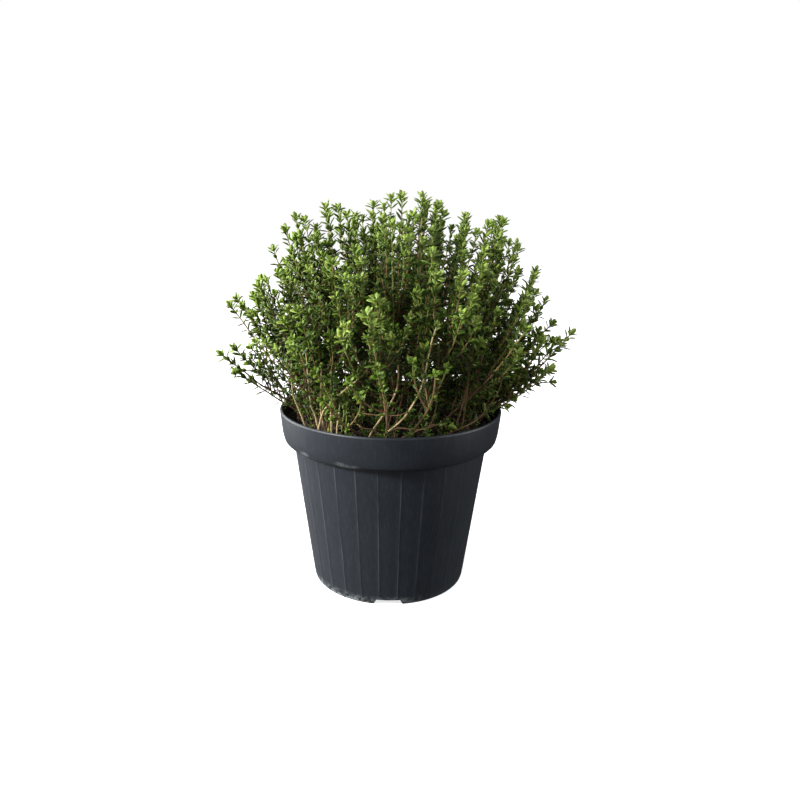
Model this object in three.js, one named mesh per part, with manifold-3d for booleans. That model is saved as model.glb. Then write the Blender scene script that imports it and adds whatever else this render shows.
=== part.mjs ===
// A potted thyme: a moulded nursery pot, the potting mix that fills it, and leafy sprigs
// rooted in holes in the mix. Millimetres, +Z up, origin at the centre of the pot's foot.
import * as THREE from "three";
import { ConvexGeometry } from "three/addons/geometries/ConvexGeometry.js";
import { mergeVertices } from "three/addons/utils/BufferGeometryUtils.js";
import Module from "manifold-3d";

const wasm = await Module();
wasm.setup();

const radians = THREE.MathUtils.degToRad;
const { lerp } = THREE.MathUtils;

// Pot: a round 13 cm nursery pot
const POT_HEIGHT = 106;
const RIM_RADIUS = 65;
const BAND_FOOT_RADIUS = 63.4;
const BAND_FOOT_HEIGHT = 91;
const BAND_ROUNDING = { inward: 1.2, down: 3.4 };
const LEDGE = { width: 2.6, rise: 0.2 };
const BODY_TOP_RADIUS = 57;
const BODY_TOP_HEIGHT = 85.6;
const FOOT_RADIUS = 45.2;
const FOOT_EDGE = { inward: 0.9, up: 1 };
const WALL = 1.3;
const LIP = 1.9;
const LIP_DROP = 0.8;
const SIDES = 56;

// Upright ribs that stiffen the body
const RIBS = 28;
const RIB_WIDTH = 1;
const RIB_DEPTH = 0.45;
const RIB_TOP_HEIGHT = 84.6;
const RIB_FOOT_HEIGHT = 2.4;

// Foot, floor and drainage
const SKIRT = 2.6;
const FLOOR_HEIGHT = 3.4;
const FLOOR = 1.4;
const FLOOR_CORNER = 1;
const NOTCHES = 4;
const NOTCH_FOOT = 18;
const NOTCH_TOP = 13.6;
const NOTCH_BELOW = 1;
const NOTCH_TO_FLOOR = 0.1;
const DRAIN_HOLES = 8;
const DRAIN_HOLE_RADIUS = 3.2;
const DRAIN_HOLE_CIRCLE = 31;
const DRAIN_HOLE_SIDES = 8;

// Potting mix, with an uneven top
const GAP = 0.3;
const MIX_HEIGHT = 99;
const MIX_SWELL = 0.9;
const SWELL_RATES = { along: 0.13, across: 0.11, slant: 0.19 };
const SWELL_START = 1;
const SLANT_SHARE = 0.5;
const MIX_SIDES = 28;
const MIX_RINGS = 4;
const HOLE_DEPTH = 9;
const HOLE_SIDES = 6;

// Thyme: the dome that the sprigs' tips make
const DOME_SPRIGS = 30;
const DOME_CENTRE = new THREE.Vector3(0, 0, 112);
const DOME_REACH = 114;
const REACH_SPREAD = [0, 11];
const SKIRT_LOSS = 0.16;
const DOME_LEAN = radians(80);
const GOLDEN_ANGLE = Math.PI * (3 - Math.sqrt(5));
const ROOT_CIRCLE = 46;
const STRAY_ROOT_CIRCLE = 50;
const RIM_ROOM = 8;

// Sprigs that reach out past the dome: the way they point from its centre, in degrees,
// and the distance to their tips
const STRAYS = [
  { bearing: -11, lean: 67, reach: 111 },
  { bearing: 17, lean: 84, reach: 96 },
  { bearing: 162, lean: 65, reach: 116 },
  { bearing: 187, lean: 80, reach: 90 },
  { bearing: 266, lean: 70, reach: 101 },
  { bearing: 78, lean: 68, reach: 103 },
];

// Stems, and the stations along them where leaf pairs grow
const CROWN = 1;
const STEM_FOOT = 1.5;
const STEM_TIP = 0.85;
const BUD = 1.2;
const BEND_OUT = 0.56;
const BEND_UP = 0.44;
const SIDEWAYS_BEND = [-8, 8];
const MAIN_STATIONS = [0.34, 0.5, 0.64, 0.77, 0.88, 0.96];

// Twigs, each running up beside its stem
const TWIGS = 2;
const TWIG_STATIONS = [0.66, 0.92];
const TWIG_SPREAD = [11, 16];
const TWIG_GAIN = [0.36, 0.46];
const TWIG_BEND_STATION = 0.1;
const TWIG_BEND_SHARE = 0.8;
const TWIG_RISE_SHARE = 0.5;
const DOWNWARD = -0.2;

// Leaves
const LEAF_LENGTH = 6.4;
const LEAF_WIDTH = 3;
const LEAF_THICKNESS = 0.9;
const LEAF_SIZES = [0.9, 1.1];
const LEAF_ROOT = 1.1;
const LEAF_WIDEST = 0.52;
const LEAF_EDGE_RISE = LEAF_THICKNESS / 3;
const LEAF_KEEL_DROP = LEAF_THICKNESS - LEAF_EDGE_RISE;
const LEAF_CLEARANCE = 1.7;
const NODE_CLEARANCE = 0.8;
const POT_CLEARANCE = 1;
const PAIR_LIFTS = [36, 52, 18].map(radians);
const ROSETTE_INNER_LIFTS = [radians(62)];
const ROSETTE_OUTER_LIFTS = [radians(34)];

// Points of a leaf that are tested for room: its share of length, and of half width
const LEAF_PROBES = [
  [0.36, 0.8],
  [LEAF_WIDEST, 1],
  [0.78, 0.5],
  [1, 0],
];

// Repeatable draws: where each sprig's numbers start, and which number is for what
const SEED = 56;
const SPRIG_STRIDE = 1013;
const DRAW_STRIDE = 7919;
const DRAWS = { reach: 1, sideways: 2, turn: 3, spread: 10, gain: 20, side: 30, leaves: 40 };
const LEAF_DRAWS = 10;

const UP = new THREE.Vector3(0, 0, 1);

const potMaterial = new THREE.MeshStandardMaterial({
  color: 0x2b2f36,
  roughness: 0.45,
  metalness: 0,
});
const mixMaterial = new THREE.MeshStandardMaterial({
  color: 0x1f1812,
  roughness: 0.95,
  metalness: 0,
});
const thymeMaterial = new THREE.MeshStandardMaterial({
  color: 0x4f7a2a,
  roughness: 0.6,
  metalness: 0,
});

// Geometry to solid and back

function isWhole([a, b, c]) {
  return a !== b && b !== c && c !== a;
}

function solidOf(geometry) {
  const bare = geometry.clone();
  bare.deleteAttribute("normal");
  bare.deleteAttribute("uv");
  const merged = mergeVertices(bare, 1e-4);
  const corners = Array.from(merged.index.array);
  const faces = corners.flatMap((_, i) => (i % 3 ? [] : [corners.slice(i, i + 3)]));
  return new wasm.Manifold(
    new wasm.Mesh({
      numProp: 3,
      vertProperties: merged.attributes.position.array,
      triVerts: new Uint32Array(faces.filter(isWhole).flat()),
    }),
  );
}

function meshOf(name, solid, material) {
  const { vertProperties, triVerts } = solid.getMesh();
  const geometry = new THREE.BufferGeometry();
  const positions = new Float32Array(vertProperties);
  geometry.setAttribute("position", new THREE.BufferAttribute(positions, 3));
  geometry.setIndex(new THREE.BufferAttribute(new Uint32Array(triVerts), 1));
  const mesh = new THREE.Mesh(geometry, material);
  mesh.name = name;
  return mesh;
}

// A closed outline of [radius, height] points turned round the Z axis
function turned(outline, sides) {
  const closed = [...outline, outline[0]];
  const points = closed.map(([radius, height]) => new THREE.Vector2(radius, height));
  return new THREE.LatheGeometry(points, sides).rotateX(Math.PI / 2);
}

// An outline of [x, y] points raised along Z
function raised(outline, height, depth) {
  const shape = new THREE.Shape(outline.map(([x, y]) => new THREE.Vector2(x, y)));
  const geometry = new THREE.ExtrudeGeometry(shape, { depth, bevelEnabled: false });
  return geometry.translate(0, 0, height);
}

function polygon(x, y, radius, sides) {
  return Array.from({ length: sides }, (_, side) => {
    const angle = (2 * Math.PI * side) / sides;
    return [x + radius * Math.cos(angle), y + radius * Math.sin(angle)];
  });
}

// Pot

function bodyRadius(height) {
  return lerp(FOOT_RADIUS, BODY_TOP_RADIUS, height / BODY_TOP_HEIGHT);
}

// The inner face from the floor up to the lip
const FLOOR_TOP = FLOOR_HEIGHT + FLOOR;
const INNER_FACE = [
  [bodyRadius(FLOOR_TOP) - WALL, FLOOR_TOP],
  [BODY_TOP_RADIUS - WALL, BODY_TOP_HEIGHT + WALL / 2],
  [BAND_FOOT_RADIUS - LIP, BAND_FOOT_HEIGHT + WALL],
  [RIM_RADIUS - LIP, POT_HEIGHT - LIP_DROP],
];

function potOutline() {
  const outside = [
    [FOOT_RADIUS - FOOT_EDGE.inward, 0],
    [FOOT_RADIUS, FOOT_EDGE.up],
    [BODY_TOP_RADIUS, BODY_TOP_HEIGHT],
    [BODY_TOP_RADIUS + LEDGE.width, BODY_TOP_HEIGHT + LEDGE.rise],
    [BAND_FOOT_RADIUS - BAND_ROUNDING.inward, BAND_FOOT_HEIGHT - BAND_ROUNDING.down],
    [BAND_FOOT_RADIUS, BAND_FOOT_HEIGHT],
    [RIM_RADIUS, POT_HEIGHT - LIP_DROP],
    [RIM_RADIUS - LIP / 2, POT_HEIGHT],
  ];
  const underside = [
    [0, FLOOR_TOP],
    [0, FLOOR_HEIGHT],
    [FOOT_RADIUS - SKIRT - FLOOR_CORNER, FLOOR_HEIGHT],
    [FOOT_RADIUS - SKIRT, 0],
  ];
  return [...outside, ...INNER_FACE.toReversed(), ...underside];
}

// A rib has its back in the wall, and its ridge follows the body's taper
function rib(angle) {
  const corners = [RIB_FOOT_HEIGHT, RIB_TOP_HEIGHT].flatMap((height) => {
    const radius = bodyRadius(height);
    const back = radius - WALL / 2;
    return [
      new THREE.Vector3(back, -RIB_WIDTH / 2, height),
      new THREE.Vector3(back, RIB_WIDTH / 2, height),
      new THREE.Vector3(radius + RIB_DEPTH, 0, height),
    ];
  });
  return new ConvexGeometry(corners).rotateZ(angle);
}

// A drainage notch through the foot's skirt up to the floor, narrower at its top
function notch(angle) {
  const top = FLOOR_HEIGHT - NOTCH_TO_FLOOR;
  const outline = [
    [-NOTCH_FOOT / 2, -NOTCH_BELOW],
    [NOTCH_FOOT / 2, -NOTCH_BELOW],
    [NOTCH_TOP / 2, top],
    [-NOTCH_TOP / 2, top],
  ];
  const inside = FOOT_RADIUS - 4 * SKIRT;
  return raised(outline, inside, FOOT_RADIUS).rotateX(Math.PI / 2).rotateZ(angle);
}

function makePot() {
  const ribs = Array.from({ length: RIBS }, (_, i) => {
    return solidOf(rib(((i + 0.5) / RIBS) * 2 * Math.PI - Math.PI / 2));
  });
  const notches = Array.from({ length: NOTCHES }, (_, i) => {
    return solidOf(notch((i / NOTCHES) * 2 * Math.PI));
  });
  const holes = polygon(0, 0, DRAIN_HOLE_CIRCLE, DRAIN_HOLES).map(([x, y]) => {
    return solidOf(raised(polygon(x, y, DRAIN_HOLE_RADIUS, DRAIN_HOLE_SIDES), 0, 2 * FLOOR_TOP));
  });
  const wall = solidOf(turned(potOutline(), SIDES));
  const ribbed = ribs.reduce((pot, piece) => pot.add(piece), wall);
  return [...notches, ...holes].reduce((pot, piece) => pot.subtract(piece), ribbed);
}

// Potting mix

// The height of its uneven top at a point
function mixTop(x, y) {
  const { along, across, slant } = SWELL_RATES;
  const waves = Math.sin(x * along + SWELL_START) * Math.cos(y * across);
  return MIX_HEIGHT + MIX_SWELL * (waves + SLANT_SHARE * Math.sin((x - y) * slant));
}

function mixOutline() {
  const [floor, shoulder, band] = INNER_FACE;
  const play = 2 * GAP;
  const side = [
    [floor[0] - play, FLOOR_TOP + GAP],
    [shoulder[0] - play, shoulder[1]],
    [band[0] - play, band[1] + GAP],
  ];
  const top = Array.from({ length: MIX_RINGS + 1 }, (_, ring) => {
    return [(band[0] - play) * (1 - ring / MIX_RINGS), MIX_HEIGHT];
  });
  return [...side, ...top, [0, FLOOR_TOP + GAP]];
}

// The mix, with a plain hole for the foot of each stem
function makeMix(stems) {
  const geometry = turned(mixOutline(), MIX_SIDES);
  const { position } = geometry.attributes;
  for (let i = 0; i < position.count; i++) {
    if (position.getZ(i) > MIX_HEIGHT - GAP) {
      position.setZ(i, mixTop(position.getX(i), position.getY(i)));
    }
  }
  const holes = stems.map(({ v0: crown }) => {
    const radius = STEM_FOOT * Math.SQRT1_2 + 2 * GAP;
    const foot = crown.z - CROWN - HOLE_DEPTH - GAP;
    return solidOf(raised(polygon(crown.x, crown.y, radius, HOLE_SIDES), foot, 2 * HOLE_DEPTH));
  });
  return holes.reduce((mix, hole) => mix.subtract(hole), solidOf(geometry));
}

// Thyme: the way its stems run

// A repeatable random number in a range, for one draw of one sprig
function between([low, high], sprig, draw) {
  let t = (SEED + sprig * SPRIG_STRIDE + draw * DRAW_STRIDE) >>> 0;
  t = Math.imul(t ^ (t >>> 15), t | 1);
  t ^= t + Math.imul(t ^ (t >>> 7), t | 61);
  return low + (high - low) * (((t ^ (t >>> 14)) >>> 0) / 2 ** 32);
}

function direction(bearing, lean) {
  const level = Math.sin(lean);
  return new THREE.Vector3(level * Math.cos(bearing), level * Math.sin(bearing), Math.cos(lean));
}

function strayAim({ bearing, lean, reach }) {
  return { bearing: radians(bearing), lean: radians(lean), reach, rootRadius: STRAY_ROOT_CIRCLE };
}

// Sprigs fan out over the dome in golden-angle order, and the strays come last
function aimOf(sprig) {
  if (sprig >= DOME_SPRIGS) {
    return strayAim(STRAYS[sprig - DOME_SPRIGS]);
  }
  const share = (sprig + 0.5) / DOME_SPRIGS;
  const shortfall = between(REACH_SPREAD, sprig, DRAWS.reach);
  return {
    bearing: sprig * GOLDEN_ANGLE,
    lean: Math.acos(1 - share * (1 - Math.cos(DOME_LEAN))),
    reach: DOME_REACH * (1 - SKIRT_LOSS * share ** 4) - shortfall,
    rootRadius: ROOT_CIRCLE * Math.sqrt(share),
  };
}

// A main stem leans out of the mix, then turns up towards its tip
function mainStem(sprig) {
  const { bearing, lean, reach, rootRadius } = aimOf(sprig);
  const outward = direction(bearing, Math.PI / 2);
  const crown = outward.clone().multiplyScalar(rootRadius);
  crown.z = mixTop(crown.x, crown.y) + CROWN;
  const tip = direction(bearing, lean).multiplyScalar(reach).add(DOME_CENTRE);
  const bend = outward.clone().multiplyScalar(lerp(rootRadius, tip.dot(outward), BEND_OUT));
  bend.z = Math.max(lerp(crown.z, tip.z, BEND_UP), POT_HEIGHT + RIM_ROOM);
  const sideways = new THREE.Vector3().crossVectors(UP, outward);
  bend.addScaledVector(sideways, between(SIDEWAYS_BEND, sprig, DRAWS.sideways));
  return new THREE.QuadraticBezierCurve3(crown, bend, tip);
}

// A twig leaves one face of the main stem, swings out and runs up beside it
function twigFrom(stem, station, out, sprig, order) {
  const spread = between(TWIG_SPREAD, sprig, DRAWS.spread + order);
  const end = station + between(TWIG_GAIN, sprig, DRAWS.gain + order);
  const from = stem.getPointAt(station);
  const bend = stem.getPointAt(station + TWIG_BEND_STATION);
  bend.addScaledVector(out, TWIG_BEND_SHARE * spread);
  const tip = stem.getPointAt(end).addScaledVector(out, spread);
  tip.addScaledVector(UP, TWIG_RISE_SHARE * spread * (1 - stem.getTangentAt(end).z));
  return new THREE.QuadraticBezierCurve3(from, bend, tip);
}

// A direction turned square to another and brought to unit length
function squareTo(vector, along) {
  return vector.clone().addScaledVector(along, -vector.dot(along)).normalize();
}

// Thyme: a sprig's skin, grown panel by panel so that it is one closed body

class Skin {
  points = [];
  faces = [];

  point(position) {
    this.points.push(position);
    return this.points.length - 1;
  }

  // The corners of a square stem, counter-clockwise as seen from its tip
  ring(centre, across, back, half) {
    const corners = [[1, 1], [-1, 1], [-1, -1], [1, -1]];
    return corners.map(([a, b]) => {
      const corner = centre.clone().addScaledVector(across, a * half);
      return this.point(corner.addScaledVector(back, b * half));
    });
  }

  // The four-sided panel between two rings, counter-clockwise as seen from outside
  panel(low, high, side) {
    const next = (side + 1) % 4;
    return [low[side], low[next], high[next], high[side]];
  }

  fill([a, b, c, d]) {
    this.faces.push([a, b, c], [a, c, d]);
  }

  join(low, high) {
    for (let side = 0; side < 4; side++) {
      this.fill(this.panel(low, high, side));
    }
  }

  cap(ring, position) {
    const tip = this.point(position);
    ring.forEach((corner, side) => this.faces.push([corner, ring[(side + 1) % 4], tip]));
  }

  // A leaf in place of a panel: flat on top, keeled below, and pointed
  leaf([a, b, c, d], blade) {
    const left = this.point(blade.left);
    const right = this.point(blade.right);
    const keel = this.point(blade.keel);
    const tip = this.point(blade.tip);
    this.faces.push([a, b, keel], [b, right, keel], [b, c, right], [c, left, right]);
    this.faces.push([c, d, left], [d, a, left], [a, keel, left]);
    this.faces.push([keel, right, tip], [right, left, tip], [left, keel, tip]);
  }

  solid() {
    const geometry = new THREE.BufferGeometry();
    geometry.setFromPoints(this.points);
    geometry.setIndex(this.faces.flat());
    return solidOf(geometry);
  }
}

// Stem up to each station, and the node there: two rings with four panels between them
function growShoot(skin, curve, stations, foot, thickness) {
  let { ring, across } = foot;
  const nodes = stations.map((station) => {
    const along = curve.getTangentAt(station);
    across = squareTo(across, along);
    const back = new THREE.Vector3().crossVectors(along, across);
    const half = lerp(thickness, STEM_TIP, station) / 2;
    const centre = curve.getPointAt(station);
    const low = skin.ring(centre, across, back, half);
    skin.join(ring, low);
    const above = centre.clone().addScaledVector(along, LEAF_ROOT);
    ring = skin.ring(above, across, back, half);
    const outs = [back, across.clone().negate(), back.clone().negate(), across];
    const panels = outs.map((out, side) => ({ corners: skin.panel(low, ring, side), out }));
    return { station, along, panels };
  });
  const { along } = nodes.at(-1);
  const end = curve.getPointAt(stations.at(-1));
  skin.cap(ring, end.addScaledVector(along, LEAF_ROOT + BUD));
  return { curve, nodes };
}

// The foot of a main stem: a square peg in its hole in the mix, and the crown above it
function plantStem(skin, curve, sprig) {
  const across = direction(between([0, Math.PI], sprig, DRAWS.turn), Math.PI / 2);
  const half = STEM_FOOT / 2;
  const peg = curve.v0.clone().addScaledVector(UP, -CROWN - HOLE_DEPTH);
  const foot = skin.ring(peg, across, new THREE.Vector3().crossVectors(UP, across), half);
  skin.fill(foot.toReversed());
  const lean = curve.getTangentAt(0).add(UP).normalize();
  const level = squareTo(across, lean);
  const crown = skin.ring(curve.v0, level, new THREE.Vector3().crossVectors(lean, level), half);
  skin.join(foot, crown);
  return { ring: crown, across: level };
}

// Of a node's two leaf-bearing panels, a twig takes one that doesn't face down
function twigSide(node, parity, sprig, order) {
  const side = parity + (between([0, 1], sprig, DRAWS.side + order) < 0.5 ? 0 : 2);
  return node.panels[side].out.z < DOWNWARD ? (side + 2) % 4 : side;
}

function growTwig(skin, main, sprig, order) {
  const node = main.nodes[order];
  const panel = node.panels[twigSide(node, order % 2, sprig, order)];
  const [a, b] = panel.corners.map((corner) => skin.points[corner]);
  const foot = { ring: panel.corners, across: a.clone().sub(b).normalize() };
  panel.taken = true;
  const path = twigFrom(main.curve, node.station, panel.out, sprig, order);
  return growShoot(skin, path, TWIG_STATIONS, foot, STEM_TIP);
}

function growSprig(sprig) {
  const skin = new Skin();
  const curve = mainStem(sprig);
  const main = growShoot(skin, curve, MAIN_STATIONS, plantStem(skin, curve, sprig), STEM_FOOT);
  const twigs = Array.from({ length: TWIGS }, (_, order) => growTwig(skin, main, sprig, order));
  return { sprig, skin, curve, shoots: [main, ...twigs] };
}

// Thyme: leaves, each kept clear of everything that is already there

const occupied = [];

function occupy(position, owner) {
  occupied.push({ position, owner });
}

function occupyStem(shoot) {
  const steps = Math.ceil(shoot.curve.getLength() / LEAF_CLEARANCE);
  shoot.curve.getSpacedPoints(steps).forEach((position) => occupy(position, shoot));
}

function isOverPot(position) {
  const isInRim = Math.hypot(position.x, position.y) < RIM_RADIUS + POT_CLEARANCE;
  return isInRim && position.z < POT_HEIGHT + POT_CLEARANCE;
}

// A leaf may touch its own shoot's stem, and be nearer to its node's leaves than to others
function isClear(probe, shoot, node) {
  return !isOverPot(probe) && occupied.every(({ position, owner }) => {
    const room = owner === node ? NODE_CLEARANCE : LEAF_CLEARANCE;
    return owner === shoot || position.distanceTo(probe) > room;
  });
}

// The blade that grows from a panel, lifted from square to the stem
function bladeOn(root, out, along, lift, size) {
  const reach = out.clone().multiplyScalar(Math.cos(lift)).addScaledVector(along, Math.sin(lift));
  const side = new THREE.Vector3().crossVectors(along, out);
  const face = new THREE.Vector3().crossVectors(reach, side);
  const length = LEAF_LENGTH * size;
  const half = (LEAF_WIDTH * size) / 2;
  const at = (share, sideways, rise) => {
    const position = root.clone().addScaledVector(reach, share * length);
    return position.addScaledVector(side, sideways).addScaledVector(face, rise);
  };
  const probes = LEAF_PROBES.flatMap(([share, width]) => [
    at(share, -width * half, 0),
    at(share, width * half, 0),
  ]);
  return {
    left: at(LEAF_WIDEST, -half, LEAF_EDGE_RISE),
    right: at(LEAF_WIDEST, half, LEAF_EDGE_RISE),
    keel: at(LEAF_WIDEST, 0, -LEAF_KEEL_DROP),
    tip: at(1, 0, 0),
    probes,
  };
}

// A leaf takes the first of its lifts that has room, and is left out where none has
function growLeaf(skin, panel, node, shoot, lifts, size) {
  const corners = panel.corners.map((corner) => skin.points[corner]);
  const root = corners[0].clone().add(corners[2]).multiplyScalar(0.5);
  const blades = lifts.map((lift) => bladeOn(root, panel.out, node.along, lift, size));
  const blade = blades.find(({ probes }) => probes.every((probe) => isClear(probe, shoot, node)));
  if (blade) {
    skin.leaf(panel.corners, blade);
    blade.probes.forEach((probe) => occupy(probe, node));
  } else {
    skin.fill(panel.corners);
  }
}

// A node's pair of leaves, or the rosette of two pairs at a shoot's tip
function dressNode(skin, shoot, node, pair, size) {
  const atTip = node === shoot.nodes.at(-1);
  node.panels.forEach((panel, side) => {
    const inPair = side % 2 === pair % 2;
    const rosetteLifts = inPair ? ROSETTE_INNER_LIFTS : ROSETTE_OUTER_LIFTS;
    if (atTip) {
      growLeaf(skin, panel, node, shoot, rosetteLifts, size);
    } else if (inPair && !panel.taken) {
      growLeaf(skin, panel, node, shoot, PAIR_LIFTS, size);
    } else if (!panel.taken) {
      skin.fill(panel.corners);
    }
  });
}

// Leaf pairs cross from node to node
function dressShoot(skin, shoot, sprig, firstDraw) {
  shoot.nodes.forEach((node, pair) => {
    dressNode(skin, shoot, node, pair, between(LEAF_SIZES, sprig, firstDraw + pair));
  });
}

function makeSprigs() {
  const count = DOME_SPRIGS + STRAYS.length;
  const sprigs = Array.from({ length: count }, (_, sprig) => growSprig(sprig));
  sprigs.forEach(({ shoots }) => shoots.forEach(occupyStem));
  for (const { sprig, skin, shoots } of sprigs) {
    shoots.forEach((shoot, order) => {
      dressShoot(skin, shoot, sprig, DRAWS.leaves + LEAF_DRAWS * order);
    });
  }
  return sprigs;
}

const sprigs = makeSprigs();
const plant = new THREE.Group();
for (const { sprig, skin } of sprigs) {
  const name = `thyme_sprig_${String(sprig + 1).padStart(2, "0")}`;
  plant.add(meshOf(name, skin.solid(), thymeMaterial));
}

const pottedThyme = new THREE.Group();
pottedThyme.add(meshOf("pot", makePot(), potMaterial));
pottedThyme.add(meshOf("potting_mix", makeMix(sprigs.map(({ curve }) => curve)), mixMaterial));
pottedThyme.add(plant);

export default pottedThyme;
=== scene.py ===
# %% [markdown]
# # A potted thyme
# This lesson dresses a solid model of a herb in its nursery pot. The solid model holds the sizes:
# the pot, the potting mix and thirty-six sprigs with a few thick leaves each. Blender adds what the
# eye asks for: thousands of small leaves, bark, crumbs of peat and a moulded plastic skin.
#
# The first cell loads the solid model. Everything after it is built in the same place and in metres.

# %% Load the solid model
import math

import bmesh
import bpy
import numpy as np
from mathutils import Matrix, Vector, noise


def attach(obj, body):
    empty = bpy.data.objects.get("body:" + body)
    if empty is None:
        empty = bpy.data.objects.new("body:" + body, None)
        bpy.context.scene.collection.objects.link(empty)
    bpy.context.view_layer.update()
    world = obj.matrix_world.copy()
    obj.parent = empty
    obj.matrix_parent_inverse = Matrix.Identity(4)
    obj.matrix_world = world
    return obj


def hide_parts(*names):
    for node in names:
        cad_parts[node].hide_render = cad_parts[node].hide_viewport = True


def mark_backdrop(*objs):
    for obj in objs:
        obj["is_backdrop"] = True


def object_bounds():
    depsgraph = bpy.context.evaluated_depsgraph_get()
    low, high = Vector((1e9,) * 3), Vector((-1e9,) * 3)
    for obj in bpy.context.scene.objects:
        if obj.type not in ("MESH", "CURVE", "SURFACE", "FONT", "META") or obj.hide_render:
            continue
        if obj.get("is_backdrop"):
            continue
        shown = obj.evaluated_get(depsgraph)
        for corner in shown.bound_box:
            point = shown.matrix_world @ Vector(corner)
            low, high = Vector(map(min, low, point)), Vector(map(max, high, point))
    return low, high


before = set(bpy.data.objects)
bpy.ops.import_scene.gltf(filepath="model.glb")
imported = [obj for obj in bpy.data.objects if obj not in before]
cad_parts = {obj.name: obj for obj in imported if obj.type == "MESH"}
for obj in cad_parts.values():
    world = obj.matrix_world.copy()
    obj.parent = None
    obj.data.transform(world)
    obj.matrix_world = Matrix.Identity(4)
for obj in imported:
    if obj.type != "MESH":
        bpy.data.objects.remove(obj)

solid_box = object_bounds()
SPRIG_NODES = sorted(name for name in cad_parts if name.startswith("thyme_sprig"))
MM = 0.001
UP = Vector((0, 0, 1))
print(len(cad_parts), "solids, of which", len(SPRIG_NODES), "are sprigs")

# %% [markdown]
# ## Camera
# The photographer stood close and looked down a little: the rim shows as a flat ellipse, and the
# pot narrows downwards more than its taper alone would make it. A camera can be set by eye or worked
# out. Here its lens, height and tilt were worked out from how the rim, the band and the foot lie in
# the picture, because a small error would show along every edge.

# %% Camera
LENS = 36.09
SENSOR_WIDTH = 36
CAMERA_PLACE = Vector((0, -457.5, 230.6)) * MM
CAMERA_PITCH = math.radians(14.86)
CAMERA_ROLL = math.radians(0.76)
CAMERA_SHIFT = 0.0115


def link(thing):
    bpy.context.scene.collection.objects.link(thing)
    return thing


def make_camera():
    lens = bpy.data.cameras.new("camera")
    lens.lens = LENS
    lens.sensor_width = SENSOR_WIDTH
    lens.shift_x = CAMERA_SHIFT
    lens.clip_start = 10 * MM
    camera = link(bpy.data.objects.new("camera", lens))
    tilt = Matrix.Rotation(math.pi / 2 - CAMERA_PITCH, 4, "X")
    roll = Matrix.Rotation(CAMERA_ROLL, 4, "Z")
    camera.matrix_world = Matrix.Translation(CAMERA_PLACE) @ tilt @ roll
    return camera


bpy.context.scene.camera = make_camera()
print("camera at", [round(v, 3) for v in CAMERA_PLACE])

# %% [markdown]
# ## Writing node trees as Python
# A material or a geometry tree is a drawing of boxes and wires, which is hard to read in a script.
# Two small classes help. A `Wire` is a value that leaves a node, and adding, multiplying or
# comparing wires adds the Math nodes that do it. A `Graph` is the tree: its one method `add` makes
# any node from its type, its settings and what goes into its sockets.

# %% Wires and graphs


class Wire:
    """A value on its way between two nodes."""

    def __init__(self, graph, socket):
        self.graph = graph
        self.socket = socket

    def __add__(self, other):
        return self.graph.maths("ADD", self, other)

    def __radd__(self, other):
        return self.graph.maths("ADD", other, self)

    def __sub__(self, other):
        return self.graph.maths("SUBTRACT", self, other)

    def __rsub__(self, other):
        return self.graph.maths("SUBTRACT", other, self)

    def __mul__(self, other):
        return self.graph.maths("MULTIPLY", self, other)

    def __rmul__(self, other):
        return self.graph.maths("MULTIPLY", other, self)

    def __truediv__(self, other):
        return self.graph.maths("DIVIDE", self, other)

    def __pow__(self, other):
        return self.graph.maths("POWER", self, other)

    def __mod__(self, other):
        return self.graph.maths("MODULO", self, other)

    def __lt__(self, other):
        return self.graph.maths("LESS_THAN", self, other)

    def __gt__(self, other):
        return self.graph.maths("GREATER_THAN", self, other)


def socket_of(sockets, key):
    """A socket by its place, its identifier or its name."""
    if isinstance(key, int):
        return sockets[key]
    named = [socket for socket in sockets if key in (socket.identifier, socket.name)]
    return named[0]


class Made:
    """A node that add made. Its outputs are read by name."""

    def __init__(self, graph, node):
        self.graph = graph
        self.node = node

    def __getitem__(self, key):
        return Wire(self.graph, socket_of(self.node.outputs, key))


class Graph:
    """A shader or geometry tree under construction."""

    def __init__(self, tree):
        self.tree = tree
        tree.nodes.clear()

    def add(self, kind, settings=None, values=None):
        node = self.tree.nodes.new(kind)
        for name, value in (settings or {}).items():
            if name == "stops":
                set_stops(node.color_ramp, value)
            else:
                setattr(node, name, value)
        for key, value in (values or {}).items():
            self.feed(socket_of(node.inputs, key), value)
        return Made(self, node)

    def feed(self, socket, value):
        if isinstance(value, Wire):
            self.tree.links.new(value.socket, socket)
        elif isinstance(value, list):
            for wire in value:
                self.feed(socket, wire)
        else:
            socket.default_value = value

    def maths(self, operation, a, b=0.0):
        return self.add("ShaderNodeMath", {"operation": operation}, {0: a, 1: b})[0]

    def clamp(self, value):
        return self.add("ShaderNodeClamp", values={"Value": value})[0]

    def fade(self, value, start, end):
        """0 before start and 1 after end, with a smooth change between them."""
        settings = {"interpolation_type": "SMOOTHSTEP"}
        limits = {"Value": value, "From Min": start, "From Max": end}
        return self.add("ShaderNodeMapRange", settings, limits)["Result"]

    def mix(self, share, a, b):
        """Colour a where share is 0, and colour b where it is 1."""
        values = {"Factor_Float": share, "A_Color": a, "B_Color": b}
        return self.add("ShaderNodeMix", {"data_type": "RGBA"}, values)["Result_Color"]


def set_stops(ramp, stops):
    """Gives a colour ramp its stops, each a place and a colour."""
    while len(ramp.elements) < len(stops):
        ramp.elements.new(1.0)
    for element, (place, colour) in zip(ramp.elements, stops):
        element.position = place
        element.color = colour


print("a graph knows how to", *[name for name in vars(Graph) if not name.startswith("_")])

# %% [markdown]
# A material needs the same few steps each time: start a tree, read a place on the object, read noise
# there, and close with a surface. They are helpers here, so that each finish below is only about
# its own colours and textures.

# %% Helpers for finishes


def new_finish(name):
    material = bpy.data.materials.new(name)
    material.use_nodes = True
    return material, Graph(material.node_tree)


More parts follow.
